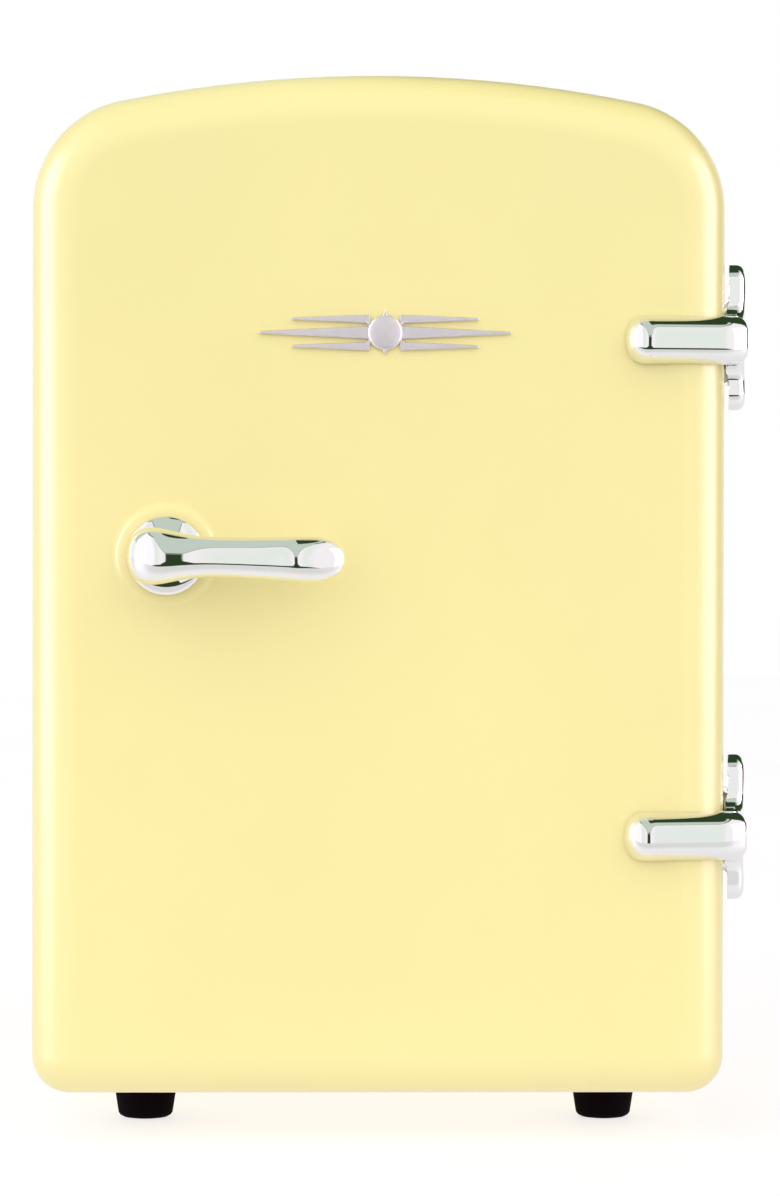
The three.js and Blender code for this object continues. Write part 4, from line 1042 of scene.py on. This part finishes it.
# ---------------------------------------------------------------- rear panel
AC = {"x": 40, "width": 22, "height": 14}
DC = {"x": 4, "width": 19, "height": 15}
POLE = {"x": 4.2, "radius": 3.7}  # of the mains socket
ROCKER_X = -38
ROCKER_W = 8.6
ROCKER_H = 18
LED_Z = SOCKET_Z + 21
COVER_SCREW_X = 73.7
COVER_SCREW_Z = {"lower": 54, "upper": 230}
BEZEL_REAR = REAR_Y + 1.6
POSTS = [(x, z) for x in (-50, 50) for z in (39, 88)]  # hold the power board
VENT_X = (50, 56, 62, 68)  # upright slots on both sides of the fan
VENT_W = 3
VENT_H = 62
FAN_OPENING = 38.5  # radius
GRILLE_RINGS = (13, 19.5, 26, 32.5)


def rear_screws():
    """The screws of the panel and the fan: node, x, z, and the turn of the recess in degrees."""
    screws = []
    for level, sign_z in (("lower", -1), ("upper", 1)):
        fan_z = COOLER_Z + FAN_SCREW * sign_z
        for side, sign_x in (("left", -1), ("right", 1)):
            z = COVER_SCREW_Z[level]
            turn = 20 * sign_x + z
            screws.append((f"cover_screw_{level}_{side}", COVER_SCREW_X * sign_x, z, turn))
            screws.append((f"fan_screw_{level}_{side}", FAN_SCREW * sign_x, fan_z, turn))
    return screws


def build_rear_cover():
    """The rear panel, with its holes and the posts behind it."""
    loops = [
        body_outline(REAR_OPENING + GAP),
        rounded_rect(AC["width"] - 3, AC["height"] - 3, 3, AC["x"], SOCKET_Z),
        rounded_rect(DC["width"] - 3, DC["height"] - 3, 3, DC["x"], SOCKET_Z),
        rounded_rect(ROCKER_W + 2.8, ROCKER_H + 2.8, 1.5, ROCKER_X, SOCKET_Z),
        circle(ROCKER_X, LED_Z, 2.2, 32),
        circle(0, COOLER_Z, FAN_OPENING, 96),
    ]
    for x in VENT_X:
        for side in (-1, 1):
            loops.append(rounded_rect(VENT_W, VENT_H, 1.4, side * x, COOLER_Z, 6))
    loops += [circle(x, z, SCREW_HOLE, 24) for _, x, z, _ in rear_screws()]
    meshes = [slab("rear_panel", loops, REAR_Y - WALL, REAR_Y, 0.35)]
    tip = [(0, SOCKET_BACK), (2.6, SOCKET_BACK), (3, SOCKET_BACK + 0.4)]
    post = tip + [(3, REAR_Y - 2), (0, REAR_Y - 2)]
    meshes += [turned("post", post, 32, "Y", x, 0, z) for x, z in POSTS]
    piece("rear_panel", merged("rear_panel", meshes), YELLOW, "cabinet", ["rear_cover"])


def grille_ring(inner, outer, front, rear):
    """A ring with rounded edges."""
    soft = 0.35
    outside = [(inner + soft, front), (outer - soft, front), (outer, front + soft), (outer, rear - soft)]
    inside = [(outer - soft, rear), (inner + soft, rear), (inner, rear - soft), (inner, front + soft)]
    return turned("ring", outside + inside, 96, "Y", 0, 0, COOLER_Z, closed=True)


def build_grille():
    """Concentric rings on six spokes round a plain hub."""
    front = REAR_Y + GAP
    rear = front + 1.8
    meshes = [grille_ring(FAN_OPENING - 0.6, FAN_OPENING + 4, front, rear)]
    meshes += [grille_ring(r - 1, r + 1, front, rear) for r in GRILLE_RINGS]
    side = [(0, front), (7.1, front), (7.5, front + 0.4), (7.5, rear - 0.5), (6.9, rear)]
    dish = [(5.2, rear), (4.8, rear - 0.3), (0, rear - 0.3)]
    meshes.append(turned("hub", side + dish, 64, "Y", 0, 0, COOLER_Z))
    for turn in (0, 60, 120):
        reach = FAN_OPENING - 0.3
        spoke = box_mesh("spoke", (-reach, front + 0.2, -1), (reach, rear - 0.2, 1), 0.3)
        spoke.transform(Matrix.Translation((0, 0, COOLER_Z)) @ Matrix.Rotation(math.radians(turn), 4, "Y"))
        meshes.append(spoke)
    mesh = merged("grille_moulded", meshes)
    piece("grille_moulded", mesh, BLACK, "cabinet", ["fan_grille"])


def figure_eight(x):
    """The outline of a two-pole socket: two round ends side by side."""
    dx, radius = POLE["x"], POLE["radius"]
    return [*arc(x + dx, SOCKET_Z, radius, -90, 90, 20), *arc(x - dx, SOCKET_Z, radius, 90, 270, 20)]


def build_inlet(node, place, hollow, pin_x):
    """A bezel, a sleeve through the panel, a floor, and two contact pins of plated metal."""
    x, width, height = place["x"], place["width"], place["height"]
    floor = SOCKET_BACK + 3
    sleeve = rounded_rect(width - 3.8, height - 3.8, 2.6, x, SOCKET_Z)
    meshes = [
        slab("bezel", [rounded_rect(width, height, 3, x, SOCKET_Z), hollow], REAR_Y + GAP, BEZEL_REAR, 0.4),
        slab("sleeve", [sleeve, hollow], floor - 0.2, REAR_Y + 0.9, 0.1, 0),
        slab("floor", [sleeve], SOCKET_BACK, floor, 0.2, 1),
    ]
    piece(node + "_moulded", merged(node, meshes), BLACK, "cabinet", [node])
    tip = [(1.15, REAR_Y - 3.8), (0.8, REAR_Y - 3.2), (0, REAR_Y - 3)]
    pin = [(0, floor - 1), (1.15, floor - 1), *tip]
    rods = [turned("pin", pin, 32, "Y", x + dx, 0, SOCKET_Z) for dx in (-pin_x, pin_x)]
    piece(node + "_pins", merged(node + "_pins", rods), STEEL, "cabinet", ())


def build_switch():
    """A framed opening with a floor, round the rocker."""
    hole = rounded_rect(ROCKER_W + 0.6, ROCKER_H, 0.8, ROCKER_X, SOCKET_Z)
    rim = rounded_rect(ROCKER_W + 6, ROCKER_H + 6, 2.5, ROCKER_X, SOCKET_Z)
    sleeve = rounded_rect(ROCKER_W + 2, ROCKER_H + 2, 1.2, ROCKER_X, SOCKET_Z)
    meshes = [
        slab("frame", [rim, hole], REAR_Y + GAP, BEZEL_REAR, 0.4),
        slab("sleeve", [sleeve, hole], REAR_Y - 12.8, REAR_Y + 0.9, 0.1, 0),
        slab("floor", [sleeve], SOCKET_BACK, REAR_Y - 12.6, 0.2, 1),
    ]
    piece("switch_frame", merged("switch_frame", meshes), BLACK, "cabinet", ["switch_bezel"])


def build_rocker():
    """A rocker with a shallow V across its face and a round back."""
    pivot = REAR_Y - 3.5
    back = [(y, z) for y, z in arc(pivot, SOCKET_Z, 8.4, 115, 245, 24) if y > pivot - 5]
    face = [(6.2, -7.1), (5.0, -1.2), (4.8, 0), (5.0, 1.2), (6.2, 7.1)]
    outline = back + [(pivot + y, SOCKET_Z + z) for y, z in face]
    mesh = plate("rocker", [outline], ROCKER_W, 0.5, 3)
    sideways = Matrix(((0, 0, 1, ROCKER_X), (1, 0, 0, 0), (0, 1, 0, 0), (0, 0, 0, 1)))
    mesh.transform(sideways)
    piece("rocker_moulded", mesh, BLACK, "rocker", ["switch_rocker"])


def build_led():
    stem = [(0, SOCKET_BACK), (1.9, SOCKET_BACK), (1.9, REAR_Y + 0.1)]
    dome = [(1.75, 0.55), (1.35, 0.9), (0.7, 1.13), (0, 1.2)]
    profile = stem + [(radius, REAR_Y + rise) for radius, rise in dome]
    mesh = turned("led", profile, 48, "Y", ROCKER_X, 0, LED_Z)
    piece("status_led_lens", mesh, RED, "cabinet", ["status_led"], sharp=50)


def screw_mesh(length):
    """A pan-head screw pointing to -Y with a cross recess, the underside of its head at y = 0."""
    shank = [(0, -length), (1.2, 1 - length), (1.2, 0)]
    head = [(2.15, 0), (2.3, 0.2), (2.25, 0.6), (1.95, 0.98), (1.4, 1.22), (0, 1.3)]
    screw = turned("screw", shank + head, 48)
    screw = cut_by(screw, box_mesh("arm", (-1.25, 0.55, -0.24), (1.25, 2, 0.24), 0.05))
    return cut_by(screw, box_mesh("arm", (-0.24, 0.6, -1.25), (0.24, 2.1, 1.25), 0.05))


def build_screws():
    long_screw = screw_mesh(7)
    for node, x, z, turn in rear_screws():
        mesh = long_screw.copy()
        turned_in = Matrix.Rotation(math.radians(turn), 4, "Y")
        mesh.transform(Matrix.Translation((x, REAR_Y + GAP, z)) @ turned_in)
        piece(node + "_turned", mesh, STEEL, "cabinet", [node])
    short_screw = screw_mesh(5.4)
    short_screw.transform(Matrix.Rotation(math.radians(-90), 4, "Z"))
    head_x = SIDE_X + 2 * GAP + LEAF_T
    for place, z in HINGE_Z.items():
        for number, dz in BRACKET_SCREWS.items():
            mesh = short_screw.copy()
            turned_in = Matrix.Rotation(0.4 * number, 4, "X")
            mesh.transform(Matrix.Translation((head_x, BRACKET_SCREW_Y, z + dz)) @ turned_in)
            node = f"bracket_screw_{place}_{number}"
            piece(node + "_turned", mesh, STEEL, "cabinet", [node])


build_rear_cover()
build_grille()
build_inlet("ac_inlet", AC, figure_eight(AC["x"]), POLE["x"])
build_inlet("dc_inlet", DC, rounded_rect(12, 8, 1.5, DC["x"], SOCKET_Z), 3)
build_switch()
build_rocker()
build_led()
build_screws()


# ---------------------------------------------------------------- CAD pieces that keep their own shape
KEPT = {
    "cabinet_insulation": FOAM,
    "door_insulation": FOAM,
    "strike_plate": STEEL,
    "door_magnet": STEEL,
    "cold_block": BRUSHED,
    "cooling_module": CERAMIC,
    "heat_sink": FINNED,
    "control_board": BOARD,
    "module_lead": RED,
    "fan_lead": BLACK,
}


def dress_kept():
    for node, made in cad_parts.items():
        material = KEPT.get(node)
        if node.startswith(("handle_screw", "hinge_arm_screw")):
            material = STEEL
        if material:
            made.data.materials.clear()
            made.data.materials.append(material)


dress_kept()


# ---------------------------------------------------------------- studio
SUBJECT = Vector((0, 0, 0.15))  # what the lights point at
SOFTBOX = {"width": 0.75, "height": 1.2, "color": (1.0, 0.8, 1.0), "diffused": False}
FLOOR_FAR = 4
TABLE_FRONT = -0.345
TABLE_DROP = 0.0005  # keeps the mirrored table clear of the floor that the camera sees
CAMERA_PLACE = Vector((-23.1, -1244.2, 160.3))  # in the drawing's frame
CAMERA_TURN = {"yaw": 1.2364, "pitch": -0.7602, "roll": -0.1053}  # degrees


def area_light(name, place, width, height, power, color=(1, 1, 1), mirrored=True, diffused=True):
    """A soft light aimed at the object. Gloss shows mirrored ones, matt surfaces show diffused ones."""
    data = bpy.data.lights.new(name, "AREA")
    data.shape = "RECTANGLE"
    data.size = width
    data.size_y = height
    data.energy = power
    data.color = color
    made = placed(name, data)
    made.location = place
    made.rotation_euler = (SUBJECT - Vector(place)).to_track_quat("-Z", "Y").to_euler()
    made.visible_camera = False
    made.visible_glossy = mirrored
    made.visible_diffuse = diffused


def grey(value):
    return (value, value, value)


def axes(tree, space):
    """The X, Y and Z of a texture coordinate."""
    parts = tree.nodes.new("ShaderNodeSeparateXYZ")
    feed(tree, parts.inputs["Vector"], add_node(tree, "TexCoord", space))
    return [parts.outputs[axis] for axis in "XYZ"]


def step_node(tree, value, low, high):
    """Goes from 0 to 1 as the value goes from low to high."""
    return add_node(tree, "MapRange", "Result", Value=value, From_Min=low, From_Max=high)


def ramp_node(tree, source, stops):
    """A colour ramp with stops between -1 and 1."""
    moved = [((position + 1) / 2, color) for position, color in stops]
    return color_ramp(tree, step_node(tree, source, -1, 1), moved)


def mix_node(tree, factor, first, second):
    """The first colour where the factor is 0, and the second where it is 1."""
    settings = [("data_type", "RGBA")]
    return add_node(tree, "Mix", "Result", settings, Factor=factor, A=first, B=second)


def math_node(tree, operation, *values):
    made = tree.nodes.new("ShaderNodeMath")
    made.operation = operation
    for socket, value in zip(made.inputs, values):
        feed(tree, socket, value)
    return made.outputs["Value"]


TABLE_GLOW = [(-0.24, grey(0.5)), (-0.17, grey(0.68))]  # brighter under the object, along Y in metres
FLOOR_GLOW = [(0, grey(0.76))]


def build_floor(name, front, height, glow, seen):
    """A white, faintly lit surface, which either the camera or the object's own reflections see."""
    mesh = bpy.data.meshes.new(name)
    sides = [(-FLOOR_FAR, front), (FLOOR_FAR, front), (FLOOR_FAR, FLOOR_FAR), (-FLOOR_FAR, FLOOR_FAR)]
    mesh.from_pydata([(x, y, height) for x, y in sides], [], [(0, 1, 2, 3)])
    material = new_material(name + "_white", grey(0.25), 0.6)
    tree = material.node_tree
    along = axes(tree, "Object")[1]
    drive(material, "Emission Strength", ramp_node(tree, along, glow))
    drive(material, "Emission Color", (1.0, 0.975, 0.99))
    vary_roughness(material, noise(material, 3), 0.55, 0.65)
    mesh.materials.append(material)
    made = placed(name, mesh)
    made.visible_camera = seen
    made.visible_glossy = not seen
    made.visible_diffuse = not seen
    made.visible_shadow = not seen


# The reflected room. A ramp's or step's position is a direction's X or Z, from -1 to 1.
ONE = (1, 1, 1)
WHITE_TONE = (1.12, 1.08, 1.12)
WALL_TONE = (0.86, 0.91, 0.85)
WARM_TONE = (1.02, 0.97, 0.98)
CEILING_TONE = (0.60, 0.68, 0.59)
DARK_TONE = (0.03, 0.055, 0.022)
PANELS_LEFT = [(-0.55, WHITE_TONE), (-0.42, WALL_TONE), (-0.2, WARM_TONE), (0, WALL_TONE)]
PANELS_RIGHT = [(0.12, WARM_TONE), (0.29, WARM_TONE), (0.42, WALL_TONE), (0.6, WARM_TONE)]
PANEL_TOPS = [(0.1, grey(0.15)), (0.38, grey(0.86))]
PANEL_FEET = [(0.1, grey(0.3)), (0.22, grey(0.45))]
SLOT = 0.025  # the dark gap between a panel and the ceiling
EDGE = 0.01  # width of a sharp change


def room_front(tree, x, z, ceiling):
    """Pale panels left and right of a dark camera stand, tapering towards it, and a ceiling above."""
    away = math_node(tree, "ABSOLUTE", x)
    over = math_node(tree, "SUBTRACT", z, ramp_node(tree, away, PANEL_TOPS))
    under = math_node(tree, "ADD", z, ramp_node(tree, away, PANEL_FEET))
    panels = ramp_node(tree, x, PANELS_LEFT + PANELS_RIGHT)
    front = mix_node(tree, step_node(tree, over, 0, EDGE), panels, DARK_TONE)
    front = mix_node(tree, step_node(tree, over, SLOT, SLOT + EDGE), front, ceiling)
    front = mix_node(tree, step_node(tree, under, 0, -EDGE), front, DARK_TONE)
    stand = math_node(tree, "MULTIPLY", step_node(tree, away, 0.12, 0.1), step_node(tree, z, 0.22, 0.1))
    return mix_node(tree, stand, front, DARK_TONE)


def room_rear(tree, x, z, rightwards):
    """A white wall that ends in darkness on the right, under the ceiling."""
    wall = ramp_node(tree, x, [(0.68, ONE), (0.76, DARK_TONE)])
    above = mix_node(tree, rightwards, CEILING_TONE, DARK_TONE)
    return mix_node(tree, step_node(tree, z, 0.35, 0.45), wall, above)


def build_world():
    """A white backdrop for the camera, and the room that the object reflects."""
    world = bpy.data.worlds.new("studio")
    world.use_nodes = True
    tree = world.node_tree
    x, y, z = axes(tree, "Generated")
    ahead = math_node(tree, "MAXIMUM", math_node(tree, "MULTIPLY", y, -1), 0.03)
    rightwards = step_node(tree, math_node(tree, "DIVIDE", x, ahead), 0.26, 0.34)
    zenith = math_node(tree, "MULTIPLY", rightwards, step_node(tree, z, 0.92, 0.94))
    ceiling = mix_node(tree, zenith, CEILING_TONE, DARK_TONE)
    front = room_front(tree, x, z, ceiling)
    rear = room_rear(tree, x, z, rightwards)
    room = mix_node(tree, step_node(tree, y, 0.13, 0.17), front, rear)
    seen = add_node(tree, "LightPath", "Is Camera Ray")
    feed(tree, tree.nodes["Background"].inputs["Color"], mix_node(tree, seen, room, ONE))
    bpy.context.scene.world = world


def build_camera():
    data = bpy.data.cameras.new("camera")
    data.sensor_fit = "HORIZONTAL"
    data.sensor_width = 36
    data.lens = 210.04
    data.clip_end = 50
    made = placed("camera", data)
    made.location = TO_ROW @ CAMERA_PLACE
    yaw, pitch, roll = (math.radians(CAMERA_TURN[axis]) for axis in ("yaw", "pitch", "roll"))
    forward = Vector((math.sin(yaw) * math.cos(pitch), math.cos(yaw) * math.cos(pitch), math.sin(pitch)))
    level = forward.to_track_quat("-Z", "Y")
    made.rotation_euler = (level @ Quaternion((0, 0, 1), -roll)).to_euler()
    bpy.context.scene.camera = made


build_floor("floor", -FLOOR_FAR, 0, FLOOR_GLOW, True)
build_floor("table", TABLE_FRONT, -TABLE_DROP, TABLE_GLOW, False)
build_world()
build_camera()
area_light("left_softbox", (-1.15, -0.32, 0.3), power=15, **SOFTBOX)
area_light("right_softbox", (1.15, -0.32, 0.3), power=13, **SOFTBOX)
area_light("front_fill", (0, -1.0, 0.9), 2.4, 1.6, 9.8, mirrored=False)
bpy.context.scene.view_settings.view_transform = "Standard"
